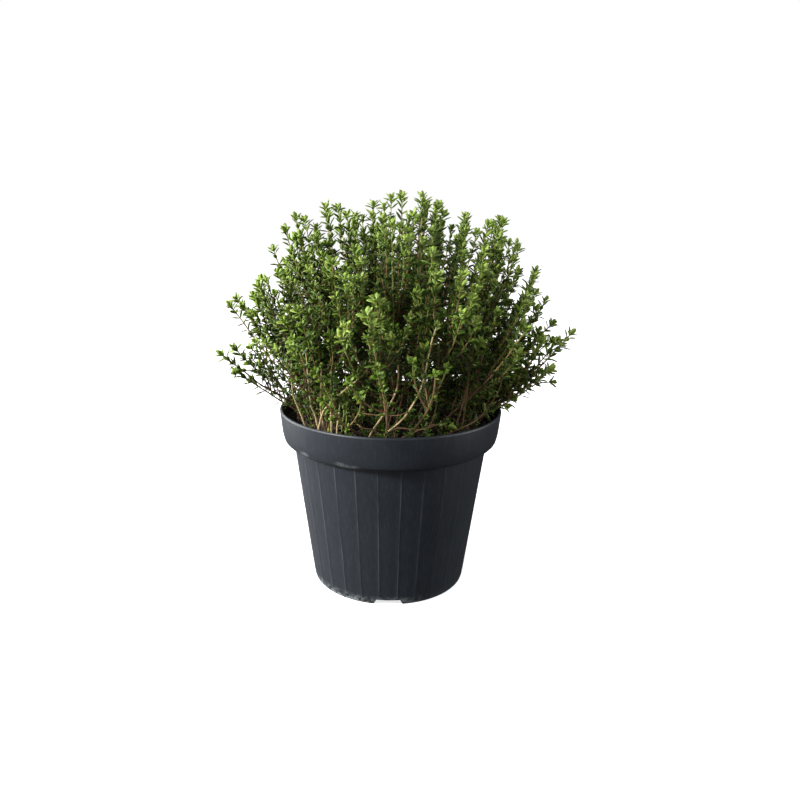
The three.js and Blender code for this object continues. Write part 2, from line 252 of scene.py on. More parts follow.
def place_on(graph, stretch=(1, 1, 1)):
    """The place on the object in metres, stretched along its axes."""
    place = graph.add("ShaderNodeTexCoord")["Object"]
    values = {"Vector": place, "Scale": stretch}
    return graph.add("ShaderNodeMapping", values=values)["Vector"]


def noise_at(graph, place, scale, detail=2.0, roughness=0.5):
    values = {"Vector": place, "Scale": scale, "Detail": detail, "Roughness": roughness}
    return graph.add("ShaderNodeTexNoise", values=values)["Fac"]


def bump(graph, height, distance, strength):
    values = {"Height": height, "Distance": distance, "Strength": strength}
    return graph.add("ShaderNodeBump", values=values)["Normal"]


def close_finish(graph, surface):
    graph.add("ShaderNodeOutputMaterial", values={"Surface": surface})


def attribute(graph, name):
    """A number that the mesh carries at each point."""
    return graph.add("ShaderNodeAttribute", {"attribute_name": name})["Fac"]


print("helpers for finishes:", *[helper.__name__ for helper in (place_on, noise_at, bump, attribute)])

# %% [markdown]
# Geometry trees have helpers too. `geometry_tree` gives a tree its named inputs, and `grow` runs a
# tree on a carrier mesh and leaves the plain mesh that it made, with no modifier and no instances,
# because that is what can be stored and exported. The numbers that only steered the tree are
# dropped from the result, and those that a finish reads are kept.

# %% Helpers for geometry trees
WIRE_FIELDS = ["stem_radius", "age", "is_node", "node_number", "leafy", "leaf_scale", "lift", "youth"]


def geometry_tree(name, inputs):
    tree = bpy.data.node_groups.new(name, "GeometryNodeTree")
    graph = Graph(tree)
    tree.interface.new_socket("Geometry", in_out="INPUT", socket_type="NodeSocketGeometry")
    for label, kind in inputs.items():
        tree.interface.new_socket(label, in_out="INPUT", socket_type="NodeSocket" + kind)
    tree.interface.new_socket("Geometry", in_out="OUTPUT", socket_type="NodeSocketGeometry")
    return graph, graph.add("NodeGroupInput")


def close_tree(graph, geometry, material):
    """Realizes what the tree made, gives it its material and ends the tree."""
    real = graph.add("GeometryNodeRealizeInstances", values={"Geometry": geometry})["Geometry"]
    smooth = graph.add("GeometryNodeSetShadeSmooth", values={"Geometry": real})["Geometry"]
    values = {"Geometry": smooth, "Material": material}
    dressed = graph.add("GeometryNodeSetMaterial", values=values)["Geometry"]
    graph.add("NodeGroupOutput", values={"Geometry": dressed})
    return graph.tree


def field(graph, name):
    """A number that the geometry carries at each point."""
    settings = {"data_type": "FLOAT"}
    return graph.add("GeometryNodeInputNamedAttribute", settings, {"Name": name})["Attribute"]


def store(graph, geometry, name, value):
    values = {"Geometry": geometry, "Name": name, "Value": value}
    settings = {"data_type": "FLOAT", "domain": "POINT"}
    return graph.add("GeometryNodeStoreNamedAttribute", settings, values)["Geometry"]


def draw(graph, low, high, seed):
    """A random number for each point."""
    values = {"Min_001": low, "Max_001": high, "Seed": seed}
    return graph.add("FunctionNodeRandomValue", {"data_type": "FLOAT"}, values)["Value_001"]


def turned(graph, rotation, axis, angle):
    """A rotation followed by a turn about one of its own axes."""
    values = {"Axis": axis, "Angle": angle}
    turn = graph.add("FunctionNodeAxisAngleToRotation", values=values)["Rotation"]
    values = {"Rotation": rotation, "Rotate By": turn}
    settings = {"rotation_space": "LOCAL"}
    return graph.add("FunctionNodeRotateRotation", settings, values)["Rotation"]


def grow(carrier, tree, values, keep=()):
    """Runs a tree on a carrier, which then holds the plain mesh that the tree made."""
    modifier = carrier.modifiers.new("grow", "NODES")
    modifier.node_group = tree
    for item in tree.interface.items_tree:
        if item.in_out == "INPUT" and item.name in values:
            modifier[item.identifier] = values[item.name]
    depsgraph = bpy.context.evaluated_depsgraph_get()
    made = carrier.evaluated_get(depsgraph)
    mesh = bpy.data.meshes.new_from_object(made, preserve_all_data_layers=True, depsgraph=depsgraph)
    carrier.modifiers.clear()
    carrier.data = mesh
    spent = set(WIRE_FIELDS) - set(keep)
    for name in [each.name for each in mesh.attributes if each.name in spent]:
        mesh.attributes.remove(mesh.attributes[name])
    return carrier


def triangles(piece):
    return sum(len(face.vertices) - 2 for face in piece.data.polygons)


print("helpers for trees:", *[helper.__name__ for helper in (geometry_tree, store, draw, turned, grow)])

# %% [markdown]
# ## Where the stems run
# The solid model places its sprigs by a rule: their tips fan out over a dome in golden-angle order,
# and a small hash gives each its own numbers. The same rule is repeated here, so that every fine
# stem lies along the thick one that it stands for. All lengths are in millimetres until the end.

# %% The rule that places the sprigs
SEED = 56
SPRIG_STRIDE = 1013
DRAW_STRIDE = 7919
DRAWS = {"reach": 1, "sideways": 2, "turn": 3, "spread": 10, "gain": 20, "side": 30}
WORD = 0xFFFFFFFF

DOME_SPRIGS = 30
DOME_CENTRE = Vector((0, 0, 112))
DOME_REACH = 114
REACH_SPREAD = (0, 11)
SKIRT_LOSS = 0.16
DOME_LEAN = math.radians(80)
GOLDEN_ANGLE = math.pi * (3 - math.sqrt(5))
ROOT_CIRCLE = 46
STRAY_ROOT_CIRCLE = 50
STRAYS = [(-11, 67, 111), (17, 84, 96), (162, 65, 116), (187, 80, 90), (266, 70, 101), (78, 68, 103)]

POT_HEIGHT = 106
RIM_ROOM = 8
CROWN = 1
BEND_OUT = 0.56
BEND_UP = 0.44
SIDEWAYS_BEND = (-8, 8)
MIX_HEIGHT = 99
MIX_SWELL = 0.9
SWELL_RATES = {"along": 0.13, "across": 0.11, "slant": 0.19}
SWELL_START = 1
SLANT_SHARE = 0.5


def between(limits, sprig, number):
    """A repeatable random number in a range, for one draw of one sprig."""
    t = (SEED + sprig * SPRIG_STRIDE + number * DRAW_STRIDE) & WORD
    t = ((t ^ (t >> 15)) * (t | 1)) & WORD
    t ^= (t + (((t ^ (t >> 7)) * (t | 61)) & WORD)) & WORD
    low, high = limits
    return low + (high - low) * ((t ^ (t >> 14)) & WORD) / 2**32


def direction(bearing, lean):
    sideways = math.sin(lean)
    return Vector((sideways * math.cos(bearing), sideways * math.sin(bearing), math.cos(lean)))


def mix_top(x, y):
    """The height of the potting mix at a point."""
    waves = math.sin(x * SWELL_RATES["along"] + SWELL_START) * math.cos(y * SWELL_RATES["across"])
    waves += SLANT_SHARE * math.sin((x - y) * SWELL_RATES["slant"])
    return MIX_HEIGHT + MIX_SWELL * waves


def aim_of(sprig):
    """A sprig's bearing, lean, reach from the dome's centre, and distance of its root."""
    if sprig >= DOME_SPRIGS:
        bearing, lean, reach = STRAYS[sprig - DOME_SPRIGS]
        return math.radians(bearing), math.radians(lean), reach, STRAY_ROOT_CIRCLE
    share = (sprig + 0.5) / DOME_SPRIGS
    lean = math.acos(1 - share * (1 - math.cos(DOME_LEAN)))
    shortfall = between(REACH_SPREAD, sprig, DRAWS["reach"])
    reach = DOME_REACH * (1 - SKIRT_LOSS * share**4) - shortfall
    return sprig * GOLDEN_ANGLE, lean, reach, ROOT_CIRCLE * math.sqrt(share)


def lerp(a, b, share):
    return a + (b - a) * share


print("first sprig leans", round(math.degrees(aim_of(0)[1]), 1), "degrees")

# %% [markdown]
# A stem is a curve from its foot to its tip, drawn aside by a third point, and it is read by the share
# of its length. That keeps stations along it evenly spaced however much it bends, and it makes the
# stations agree with the solid model's.

# %% Stems as curves
BEND_POINTS = 201
TRIM_POINTS = 150
STRETCH_POINTS = 25


class Path:
    """A run of close points that is read by the share of its length."""

    PROBE = 0.002

    def __init__(self, places):
        self.places = np.array(places)
        gaps = np.linalg.norm(np.diff(self.places, axis=0), axis=1)
        reached = np.concatenate([[0], np.cumsum(gaps)])
        self.length = reached[-1]
        self.shares = reached / self.length

    def at(self, share):
        return Vector([np.interp(share, self.shares, column) for column in self.places.T])

    def up_to(self, share):
        return Path([self.at(part) for part in np.linspace(0, share, TRIM_POINTS)])

    def tangent(self, share):
        ahead = self.at(min(1, share + self.PROBE))
        return (ahead - self.at(max(0, share - self.PROBE))).normalized()


def bent(start, bend, end):
    """A path with one bend: a quadratic curve."""
    t = np.linspace(0, 1, BEND_POINTS)[:, None]
    return Path((1 - t) ** 2 * np.array(start) + 2 * t * (1 - t) * np.array(bend) + t**2 * np.array(end))


def through(points):
    """A path through several points: each stretch is steered by the points before and after it."""
    points = [np.array(point, float) for point in points]
    points = [2 * points[0] - points[1], *points, 2 * points[-1] - points[-2]]
    t = np.linspace(0, 1, STRETCH_POINTS)[:, None]
    places = [points[1][None]]
    for a, b, c, d in zip(points, points[1:], points[2:], points[3:]):
        stretch = 2 * b + (c - a) * t + (2 * a - 5 * b + 4 * c - d) * t**2 + (3 * b - a - 3 * c + d) * t**3
        places.append(stretch[1:] / 2)
    return Path(np.concatenate(places))


def main_path(sprig):
    bearing, lean, reach, root = aim_of(sprig)
    outward = direction(bearing, math.pi / 2)
    crown = outward * root
    crown.z = mix_top(crown.x, crown.y) + CROWN
    tip = direction(bearing, lean) * reach + DOME_CENTRE
    bend = outward * lerp(root, tip.dot(outward), BEND_OUT)
    bend.z = max(lerp(crown.z, tip.z, BEND_UP), POT_HEIGHT + RIM_ROOM)
    bend += UP.cross(outward) * between(SIDEWAYS_BEND, sprig, DRAWS["sideways"])
    return bent(crown, bend, tip)


def square_to(vector, along):
    return (vector - along * vector.dot(along)).normalized()


main_paths = [main_path(sprig) for sprig in range(len(SPRIG_NODES))]
print("main stems are", *[round(f(p.length for p in main_paths)) for f in (min, max)], "mm long")

# %% [markdown]
# Each sprig carries side shoots. The first two stand where the solid model has them. They take their
# sides and lengths from the same draws, so that each fine twig lies along the thick one.

# %% Twigs of the solid model
SOLID_STATIONS = [0.34, 0.5]
SOLID_SPREAD = (11, 16)
SOLID_GAIN = (0.36, 0.46)
TWIG_BEND_STATION = 0.1
TWIG_BEND_SHARE = 0.8
TWIG_RISE_SHARE = 0.5
DOWNWARD = -0.2
LAST_STATION = 0.975


def frames_along(path, sprig, stations):
    """The directions across and behind a square stem at each station, as in the solid model."""
    across = direction(between((0, math.pi), sprig, DRAWS["turn"]), math.pi / 2)
    across = square_to(across, (path.tangent(0) + UP).normalized())
    frames = []
    for station in stations:
        along = path.tangent(station)
        across = square_to(across, along)
        frames.append((across.copy(), along.cross(across)))
    return frames


def twig_path(path, station, out, spread, gain):
    end = min(station + gain, LAST_STATION)
    bend = path.at(station + TWIG_BEND_STATION) + out * TWIG_BEND_SHARE * spread
    tip = path.at(end) + out * spread
    tip += UP * TWIG_RISE_SHARE * spread * (1 - path.tangent(end).z)
    return bent(path.at(station), bend, tip)


def solid_twigs(path, sprig):
    """The two side shoots that the solid sprig has."""
    twigs = []
    for order, (across, back) in enumerate(frames_along(path, sprig, SOLID_STATIONS)):
        outs = [back, -across, -back, across]
        side = order % 2 + (0 if between((0, 1), sprig, DRAWS["side"] + order) < 0.5 else 2)
        if outs[side].z < DOWNWARD:
            side = (side + 2) % 4
        spread = between(SOLID_SPREAD, sprig, DRAWS["spread"] + order)
        gain = between(SOLID_GAIN, sprig, DRAWS["gain"] + order)
        twigs.append(twig_path(path, SOLID_STATIONS[order], outs[side], spread, gain))
    return twigs


print("twigs of the solid model on a sprig:", len(solid_twigs(main_paths[0], 0)))

# %% [markdown]
# More shoots could be drawn in the same way, station by station, but they would crowd in one place
# and leave gaps in another. So the rest are aimed the other way round: their tips are spread evenly
# over the same dome, a little inside it, and each grows from the sprig that points nearest to it. That
# gives the plant its even, close surface, while every twig still leaves a stem, swings out and turns
# up to the light.
#
# An even spread alone looks clipped. So each tip is drawn a little towards its sprig's own tip, which
# gathers the tips in heads. None is placed low in front, where the picture looks in among the stems,
# nor low on the left, where only a few strays hang over the rim.

# %% Shoots that fill the dome
FILL_TIPS = 540
FILL_LEAN = math.radians(84)
FILL_TURN = 1.1
FILL_HALF_WIDTH = 86
FILL_CENTRE = DOME_CENTRE + Vector((4, 0, 0))
FILL_SQUARENESS = 3
FILL_SKIRT = 0.18
FILL_SKIRT_START = 0.9
FILL_DEPTH = (0, 46)
FILL_DEPTH_POWER = 1.5
CLUMPING = 0.2
FILL_STATIONS = (0.14, 0.58)
FILL_BEND = 0.42
TURN_UP = 0.6
FILL_DRAWS = 500
LOWEST_BEND = 113
FRONT_BEARING = math.radians(268)
FRONT_GAP_HALF_WIDTH = math.radians(50)
FRONT_GAP_LEAN = math.radians(58)
LOW_LEFT_LEAN = math.radians(68)
LOW_LEFT_HALF_WIDTH = math.radians(36)


def level(value, low, high):
    """0 up to low, 1 from high on, and straight between them."""
    return min(1, max(0, (value - low) / (high - low)))


def off_front(bearing):
    """The angle between a bearing and the side that was photographed."""
    return abs((bearing - FRONT_BEARING + math.pi) % (2 * math.pi) - math.pi)


def is_low_in_front(bearing, lean):
    return off_front(bearing) < FRONT_GAP_HALF_WIDTH and lean > FRONT_GAP_LEAN


def is_low_on_left(bearing, lean):
    return abs(bearing % (2 * math.pi) - math.pi) < LOW_LEFT_HALF_WIDTH and lean > LOW_LEFT_LEAN


def dome_reach(lean):
    """How far the close foliage reaches: a dome with full shoulders and a tucked-in skirt."""
    wide, tall = math.sin(lean) / FILL_HALF_WIDTH, math.cos(lean) / DOME_REACH
    reach = (wide**FILL_SQUARENESS + tall**FILL_SQUARENESS) ** (-1 / FILL_SQUARENESS)
    return reach * (1 - FILL_SKIRT * level(math.sin(lean), FILL_SKIRT_START, 1))


def fill_aims():
    """Which way the other shoots point, evenly over the dome, and how deep under it they end."""
    for i in range(FILL_TIPS):
        lean = math.acos(1 - (i + 0.5) / FILL_TIPS * (1 - math.cos(FILL_LEAN)))
        bearing = i * GOLDEN_ANGLE + FILL_TURN
        if not is_low_in_front(bearing, lean) and not is_low_on_left(bearing, lean):
            depth = lerp(*FILL_DEPTH, between((0, 1), FILL_DRAWS + i, 1) ** FILL_DEPTH_POWER)
            yield i, direction(bearing, lean), depth


def fill_twig(path, number, tip, outward):
    """A shoot from somewhere along a stem to a tip, turning upward on its way."""
    start = path.at(between(FILL_STATIONS, FILL_DRAWS + number, 2))
    heading = lerp(outward, UP, TURN_UP).normalized()
    bend = tip - heading * (tip - start).length * FILL_BEND
    bend.z = max(bend.z, min(LOWEST_BEND, tip.z))
    return bent(start, bend, tip)


aims = [direction(*aim_of(sprig)[:2]) for sprig in range(len(SPRIG_NODES))]
fill_of = {sprig: [] for sprig in range(len(SPRIG_NODES))}
for number, outward, depth in fill_aims():
    nearest = max(fill_of, key=lambda sprig: aims[sprig].dot(outward))
    outward = lerp(outward, aims[nearest], CLUMPING).normalized()
    tip = outward * (dome_reach(math.acos(outward.z)) - depth) + FILL_CENTRE
    fill_of[nearest].append((depth, fill_twig(main_paths[nearest], number, tip, outward)))
print(sum(map(len, fill_of.values())), "more shoots, at most", max(map(len, fill_of.values())), "on a sprig")

# %% [markdown]
# ## Wires for the geometry trees
# A geometry tree can follow a chain of edges, and it can read numbers that each point of it carries.
# So each shoot becomes such a chain. There is a point at each node, where leaves join the stem, and
# one half-way to the next. Nodes crowd together towards the tip, where the shoot is still unfolding.
# The points say how thick the stem is there, how old, how leafy, how large its leaves are and how far
# they are raised. The vector noise that makes the stems sway starts from the clock each time that
# Blender opens, so it gets a fixed seed before its first use.

# %% Chains of points
TIP_INTERNODE = 1.8
TIP_NODES = 6
TIP_LEAF_SIZE = 0.9
SMALL_LEAF_NODES = 3
YOUNG_NODES = 5.5
TIP_LIFT = math.radians(52)
PAIR_LIFT = math.radians(30)
CLEAR_HEIGHTS = (99, 108)
BARE_FADE = 0.1
RIM_RADIUS = 65
RIM_FADE = 6
FRONT_BARE_BEARINGS = (0.7 * math.radians(46), math.radians(46))
FRONT_BARE_DEPTHS = (20, 40)
FRONT_BARE_HEIGHTS = (110, 130)
FRONT_BARE_SHARE = 0.5
WOBBLE = 0.7
WOBBLE_LENGTH = 15
WOBBLE_STRIDE = 7.3
WOBBLE_SEED = 7
noise.seed_set(WOBBLE_SEED)


class Shoot:
    """One stem from its foot to its tip, and how it is dressed."""

    def __init__(self, path, seed, **dress):
        self.path = path
        self.seed = seed
        self.radii = dress.get("radii", (0.42, 0.25))
        self.ages = dress.get("ages", (0.5, 0))
        self.bare = dress.get("bare", 0.08)
        self.internode = dress.get("internode", 4.8)
        self.leaf_scale = dress.get("leaf_scale", 1)
        self.clear_heights = dress.get("clear_heights", CLEAR_HEIGHTS)
        self.fullness = dress.get("fullness", 1)
        # Less vigour makes the leaves narrower and paints them darker, as painted shade
        self.vigour = dress.get("vigour", 1)

    def node_shares(self):
        """Where the nodes are, counted from the tip down."""
        places = [0]
        while places[-1] < self.path.length:
            crowding = min(1, len(places) / TIP_NODES)
            places.append(places[-1] + lerp(TIP_INTERNODE, self.internode, crowding))
        return [1 - place / self.path.length for place in places[:-1]] + [0]

    def place(self, share):
        """A point along the stem, wobbled between its two ends."""
        spot = Vector((self.seed * WOBBLE_STRIDE, share * self.path.length / WOBBLE_LENGTH, 0))
        return self.path.at(share) + noise.noise_vector(spot) * WOBBLE * math.sin(math.pi * share) ** 0.5

    def leafiness(self, share, place):
        """Few leaves low down among the stems and in front, and many outside the rim and above it."""
        outside = level(math.hypot(place.x, place.y), RIM_RADIUS, RIM_RADIUS + RIM_FADE)
        in_light = max(level(place.z, *self.clear_heights), outside)
        grown = in_light * level(share, self.bare, self.bare + BARE_FADE)
        facing = 1 - level(off_front(math.atan2(place.y, place.x)), *FRONT_BARE_BEARINGS)
        facing *= level(-place.y, *FRONT_BARE_DEPTHS)
        open_front = facing * (1 - level(place.z, *FRONT_BARE_HEIGHTS)) * FRONT_BARE_SHARE
        return self.fullness * grown * (1 - open_front)

    def row(self, share, number, is_node):
        place = self.place(share)
        return place, [
            lerp(*self.radii, share),
            lerp(*self.ages, share),
            is_node,
            number,
            self.leafiness(share, place),
            self.leaf_scale * lerp(TIP_LEAF_SIZE, 1, min(1, number / SMALL_LEAF_NODES)),
            lerp(TIP_LIFT, PAIR_LIFT, min(1, number / TIP_NODES)),
            self.vigour * max(0, 1 - number / YOUNG_NODES),
        ]

    def rows(self):
        """Points from the foot to the tip, each with its numbers: a node, half-way, a node."""
        nodes = self.node_shares()
        for number in reversed(range(len(nodes))):
            yield self.row(nodes[number], number, 1)
            if number:
                yield self.row((nodes[number] + nodes[number - 1]) / 2, number, 0)


print("the first main stem has", len(Shoot(main_paths[0], 0).node_shares()), "nodes")

# %% [markdown]
# All chains of a sprig go into one mesh of bare edges, so that one run of a tree grows the whole
# sprig. The numbers are stored as the mesh's attributes, each a list with one number for each point.

# %% Wires


def wires(name, shoots):
    """A mesh of bare edges with a chain for each shoot."""
    points, edges, numbers = [], [], []
    for shoot in shoots:
        first = len(points)
        for place, values in shoot.rows():
            points.append(place * MM)
            numbers.append(values)
        edges += [(i, i + 1) for i in range(first, len(points) - 1)]
    mesh = bpy.data.meshes.new(name)
    mesh.from_pydata(points, edges, [])
    columns = np.array(numbers, np.float32).T
    columns[0] *= MM
    for label, column in zip(WIRE_FIELDS, columns):
        layer = mesh.attributes.new(label, "FLOAT", "POINT")
        layer.data.foreach_set("value", np.ascontiguousarray(column))
    return link(bpy.data.objects.new(name, mesh))


print("a point of a wire carries", len(WIRE_FIELDS), "numbers")

# %% [markdown]
# A sprig's main stem is its thickest and oldest, and bare at its foot. Less vigour makes a shoot's
# leaves narrower and paints them darker, as painted shade, and a shoot that ends deep inside the dome
# has little. Sprigs that stand low in front are thinned, most of all in the middle, so that the stems
# behind them show. Those low on the left are thinned a little.

# %% Shoots of the sprigs
STEM_END = 0.965
MAIN_LOOK = {"radii": (0.56, 0.3), "ages": (0.68, 0.08), "bare": 0.12, "internode": 5.2}
TWIG_LOOK = {"radii": (0.44, 0.27), "ages": (0.45, 0)}
TWIG_SEED_STEP = 0.3
THIN_LEFT = {"fullness": 0.85, "vigour": 0.8, "leaf_scale": 0.96}
THIN_FRONT = {"fullness": (0.5, 0.95), "vigour": (0.4, 0.7), "leaf_scale": (0.76, 0.9)}
THINNEST_HALF_WIDTH = math.radians(25)
FILL_LEAF_SCALES = (0.82, 1.04)
FILL_LEAF_DRAWS = 200
FILL_SEED = 50
FILL_SEED_STEP = 0.07
# Between these depths a shoot loses vigour, which paints its leaves darker as painted shade
SHADE_DEPTHS = (6, 30)
SHADE_VIGOUR = 0.3


def thinning(bearing, lean):
    """What is changed on a sprig that stands low in front or low on the left."""
    if is_low_on_left(bearing, lean):
        return THIN_LEFT
    if is_low_in_front(bearing, lean):
        aside = level(off_front(bearing), THINNEST_HALF_WIDTH, FRONT_GAP_HALF_WIDTH)
        return {name: lerp(*limits, aside) for name, limits in THIN_FRONT.items()}
    return {}


def fill_look(sprig, order, depth):
    """A shoot with leaves of its own size, and the deeper it ends, less vigour and more painted shade."""
    scale = between(FILL_LEAF_SCALES, sprig, FILL_LEAF_DRAWS + order)
    return {"leaf_scale": scale, "vigour": lerp(1, SHADE_VIGOUR, level(depth, *SHADE_DEPTHS))}


def sprig_shoots(sprig):
    path = main_paths[sprig]
    bearing, lean, _, _ = aim_of(sprig)
    thin = thinning(bearing, lean)
    shoots = [Shoot(path.up_to(STEM_END), sprig, **MAIN_LOOK, **thin)]
    for order, twig in enumerate(solid_twigs(path, sprig)):
        seed = sprig + TWIG_SEED_STEP * (order + 1)
        shoots.append(Shoot(twig.up_to(STEM_END), seed, **TWIG_LOOK, **thin))
    for order, (depth, twig) in enumerate(fill_of[sprig]):
        seed = FILL_SEED + sprig + FILL_SEED_STEP * order
        shoots.append(Shoot(twig, seed, **fill_look(sprig, order, depth)))
    return shoots


all_shoots = [sprig_shoots(sprig) for sprig in range(len(SPRIG_NODES))]
total = sum(shoot.path.length for shoots in all_shoots for shoot in shoots)
print(sum(map(len, all_shoots)), "shoots,", round(total / 1000, 1), "metres of stem")

# %% [markdown]
# ## Low shoots
# Between the sprigs the mix sends up short shoots that never reached the light. They make the shade
# in the plant's heart. Their roots are spread in golden-angle order, and those in a clearing on the
# photographed side stay shorter still.

# %% Low shoots
LOW_SHOOTS = 135
LOW_ROOT_CIRCLE = 56
LOW_HEIGHTS = (16, 50)
LOW_LEAN = math.radians(30)
LOW_SWERVE = (-0.7, 0.7)
LOW_BEND = 0.45
LOW_LEAF_SCALES = (0.6, 0.92)
LOW_DRAWS = 2000
LOW_SEED = 300
ROOT_SUNK = 1
CLEARING = {"left": -26, "right": 40, "front": -14, "height": 0.22}
# Little vigour paints these shoots' leaves dark, as painted shade
LOW_LOOK = {
    "radii": (0.34, 0.22),
    "ages": (0.62, 0.3),
    "clear_heights": (96, 99),
    "internode": 4,
    "vigour": 0.12,
}


def low_shoots():
    """Short shoots from roots spread over the mix, and shorter ones in the clearing."""
    for i in range(LOW_SHOOTS):
        bearing = i * GOLDEN_ANGLE
        root = direction(bearing, math.pi / 2) * LOW_ROOT_CIRCLE * math.sqrt((i + 0.5) / LOW_SHOOTS)
        root.z = mix_top(root.x, root.y) - ROOT_SUNK
        height = between(LOW_HEIGHTS, LOW_DRAWS + i, 1)
        if CLEARING["left"] < root.x < CLEARING["right"] and root.y < CLEARING["front"]:
            height *= CLEARING["height"]
        lean = LOW_LEAN * root.xy.length / LOW_ROOT_CIRCLE
        tip = root + direction(bearing + between(LOW_SWERVE, LOW_DRAWS + i, 2), lean) * height
        bend = root + UP * height * LOW_BEND
        leaf_scale = between(LOW_LEAF_SCALES, LOW_DRAWS + i, 3)
        yield Shoot(bent(root, bend, tip), LOW_SEED + i, leaf_scale=leaf_scale, **LOW_LOOK)


loose_shoots = list(low_shoots())
print(len(loose_shoots), "low shoots")

# %% [markdown]
# ## Front stems
# In the clearing a few bare stems lean forward before they turn up, bleached straw-coloured by the
# light. Thin twigs stand between them, a few creepers lie over the mix or out over the rim, and
# green seedlings come up at their feet. These are the only stems that are placed one by one, each
# from its foot through a few points, because the eye goes straight to them.

# %% Front stems, twigs, creepers and seedlings
FRONT_STEMS = [
    [(-40, -40, 98), (-36, -47, 114), (-30.2, -53, 122.3), (-24.4, -57, 128.5), (-19.8, -60, 133.3),
     (-13, -63, 140.3), (-10.1, -64, 149), (-12, -63, 157)],
    [(-9, -50, 98), (-1.2, -57, 107), (7.1, -61, 116.1), (13.9, -64, 129.1), (16.9, -65, 141.2),
     (19.7, -66, 156.9), (22.3, -64, 164.2)],
    [(-13, -48, 98), (-8.1, -56, 109.3), (-4.1, -59, 116.6), (1.9, -61, 127.6), (3.4, -62, 135.8),
     (2.7, -61, 148.5), (2.1, -60, 153.3)],
    [(-46, -30, 98), (-50, -34, 112), (-52.9, -38, 121.5), (-53, -42, 130.8), (-52.4, -45, 145.6)],
    [(-38, -38, 98), (-41.1, -42, 112.4), (-42.5, -45, 116.8), (-42.7, -50, 128.8), (-44.1, -53, 147.9)],
    [(-35, -40, 98), (-37.1, -44, 113.7), (-36.4, -51, 129.1), (-36.1, -53, 139.4)],
    [(-29, -48, 98), (-30.8, -52, 105.1), (-31, -52, 110.6), (-31.9, -51, 117.4), (-32.6, -49, 123.9)],
    [(-27, -49, 98), (-28.2, -53, 105.2), (-26.9, -54, 114.8), (-26.6, -52, 121)],
]
FRONT_TWIGS = [
    [(-6, -52, 99), (-8, -57, 107.6), (-14.3, -58, 109.4), (-17.7, -56, 111.4), (-19.6, -52, 114),
     (-21, -48, 119)],
    [(-34, -38, 98), (-35, -44, 118), (-32.7, -50, 133.9), (-25.4, -58, 146.3), (-24, -58, 160.3)],
    [(-37, -34, 98), (-38, -42, 116), (-34, -50, 132.8), (-30.3, -55, 141.1), (-30.4, -57, 152.8)],
    [(2, -48, 98), (4, -52, 116), (6.7, -56, 130.5), (11, -60, 143.3), (13.9, -61, 161.4)],
    [(-2, -46, 98), (0, -50, 114), (6.9, -56, 128.6), (13.9, -60, 138.9), (16.6, -60, 145.2)],
    [(1.9, -61, 127.6), (-8.3, -52, 128), (-13.3, -44, 126.7)],
    [(-4.1, -59, 116.6), (-13.2, -54, 116.1), (-17.2, -50, 116.2)],
    [(-4.1, -59, 116.6), (3.7, -60, 117), (10, -58, 119)],
    [(-1.2, -57, 107), (3.8, -59, 109.6), (10, -60, 109.4), (16.2, -60, 109.3), (25, -56, 111)],
    [(38, -38, 98), (40, -47, 122), (41.1, -52, 146), (42.7, -52, 158), (44.4, -50, 169.6)],
    [(33, -40, 98), (38, -48, 120), (39.8, -52, 138.5), (36, -54, 148), (34.8, -52, 164.1)],
    [(18, -46, 98), (23, -52, 117), (24.2, -56, 134.5), (23.8, -57, 146.8), (24.6, -55, 158.3)],
    [(44, -30, 98), (51, -37, 112), (58, -43, 128), (61, -45, 146)],
]
CREEPERS = [
    [(-52, -2, 98), (-60, -4, 111), (-66, -5, 121.6), (-74, -8, 126.9), (-83.6, -10, 128.4),
     (-88, -10, 127.5)],
    [(54, 2, 98), (61, 1, 108), (73.3, 0, 112), (84.5, 0, 119.5), (93.2, 0, 121.4)],
    [(20, -48, 98), (32, -47, 104), (43, -41, 107), (51, -32, 111), (55, -27, 119)],
    [(0, -48, 98), (10, -52, 104), (22, -50, 109), (31, -46, 107)],
    [(36, -32, 98), (46, -33, 107), (56, -30, 112), (67, -26, 117)],
    [(48, -8, 98), (56, -9, 106), (62, -10, 109.2), (65.5, -11, 109.4)],
]
SEEDLINGS = [
    [(-24, -49, 98), (-25.2, -54, 106.3), (-24.3, -55, 117), (-24.6, -53, 125.1)],
    [(-22, -50, 98), (-23.4, -55, 106.6), (-22.9, -55, 119.8), (-21.8, -53, 126.2)],
    [(-33, -46, 98), (-33, -48, 104), (-32, -49, 110)],
]
FRONT_LOOK = {
    "radii": (0.5, 0.34),
    "ages": (0.97, 0.9),
    "internode": 6,
    "fullness": 0.6,
    "bare": 0.3,
    "leaf_scale": 0.74,
    "vigour": 0.75,
}
FRONT_TWIG_LOOK = {
    "radii": (0.34, 0.2),
    "ages": (0.6, 0.25),
    "internode": 5,
    "fullness": 0.5,
    "bare": 0.2,
    "leaf_scale": 0.7,
    "vigour": 0.4,
}
CREEPER_LOOK = {"radii": (0.46, 0.3), "ages": (0.66, 0.5), "internode": 6, "fullness": 0.6, "bare": 0.3}
SEEDLING_LOOK = {
    "radii": (0.34, 0.2),
    "ages": (0.04, 0),
    "internode": 3.4,
    "leaf_scale": 0.8,
    "clear_heights": (99, 102),
}
PLACED = [
    (600, FRONT_STEMS, FRONT_LOOK),
    (650, FRONT_TWIGS, FRONT_TWIG_LOOK),
    (700, CREEPERS, CREEPER_LOOK),
    (800, SEEDLINGS, SEEDLING_LOOK),
]

for first_seed, stems, look in PLACED:
    loose_shoots += [Shoot(through(points), first_seed + i, **look) for i, points in enumerate(stems)]
print(len(loose_shoots), "shoots belong to no sprig")

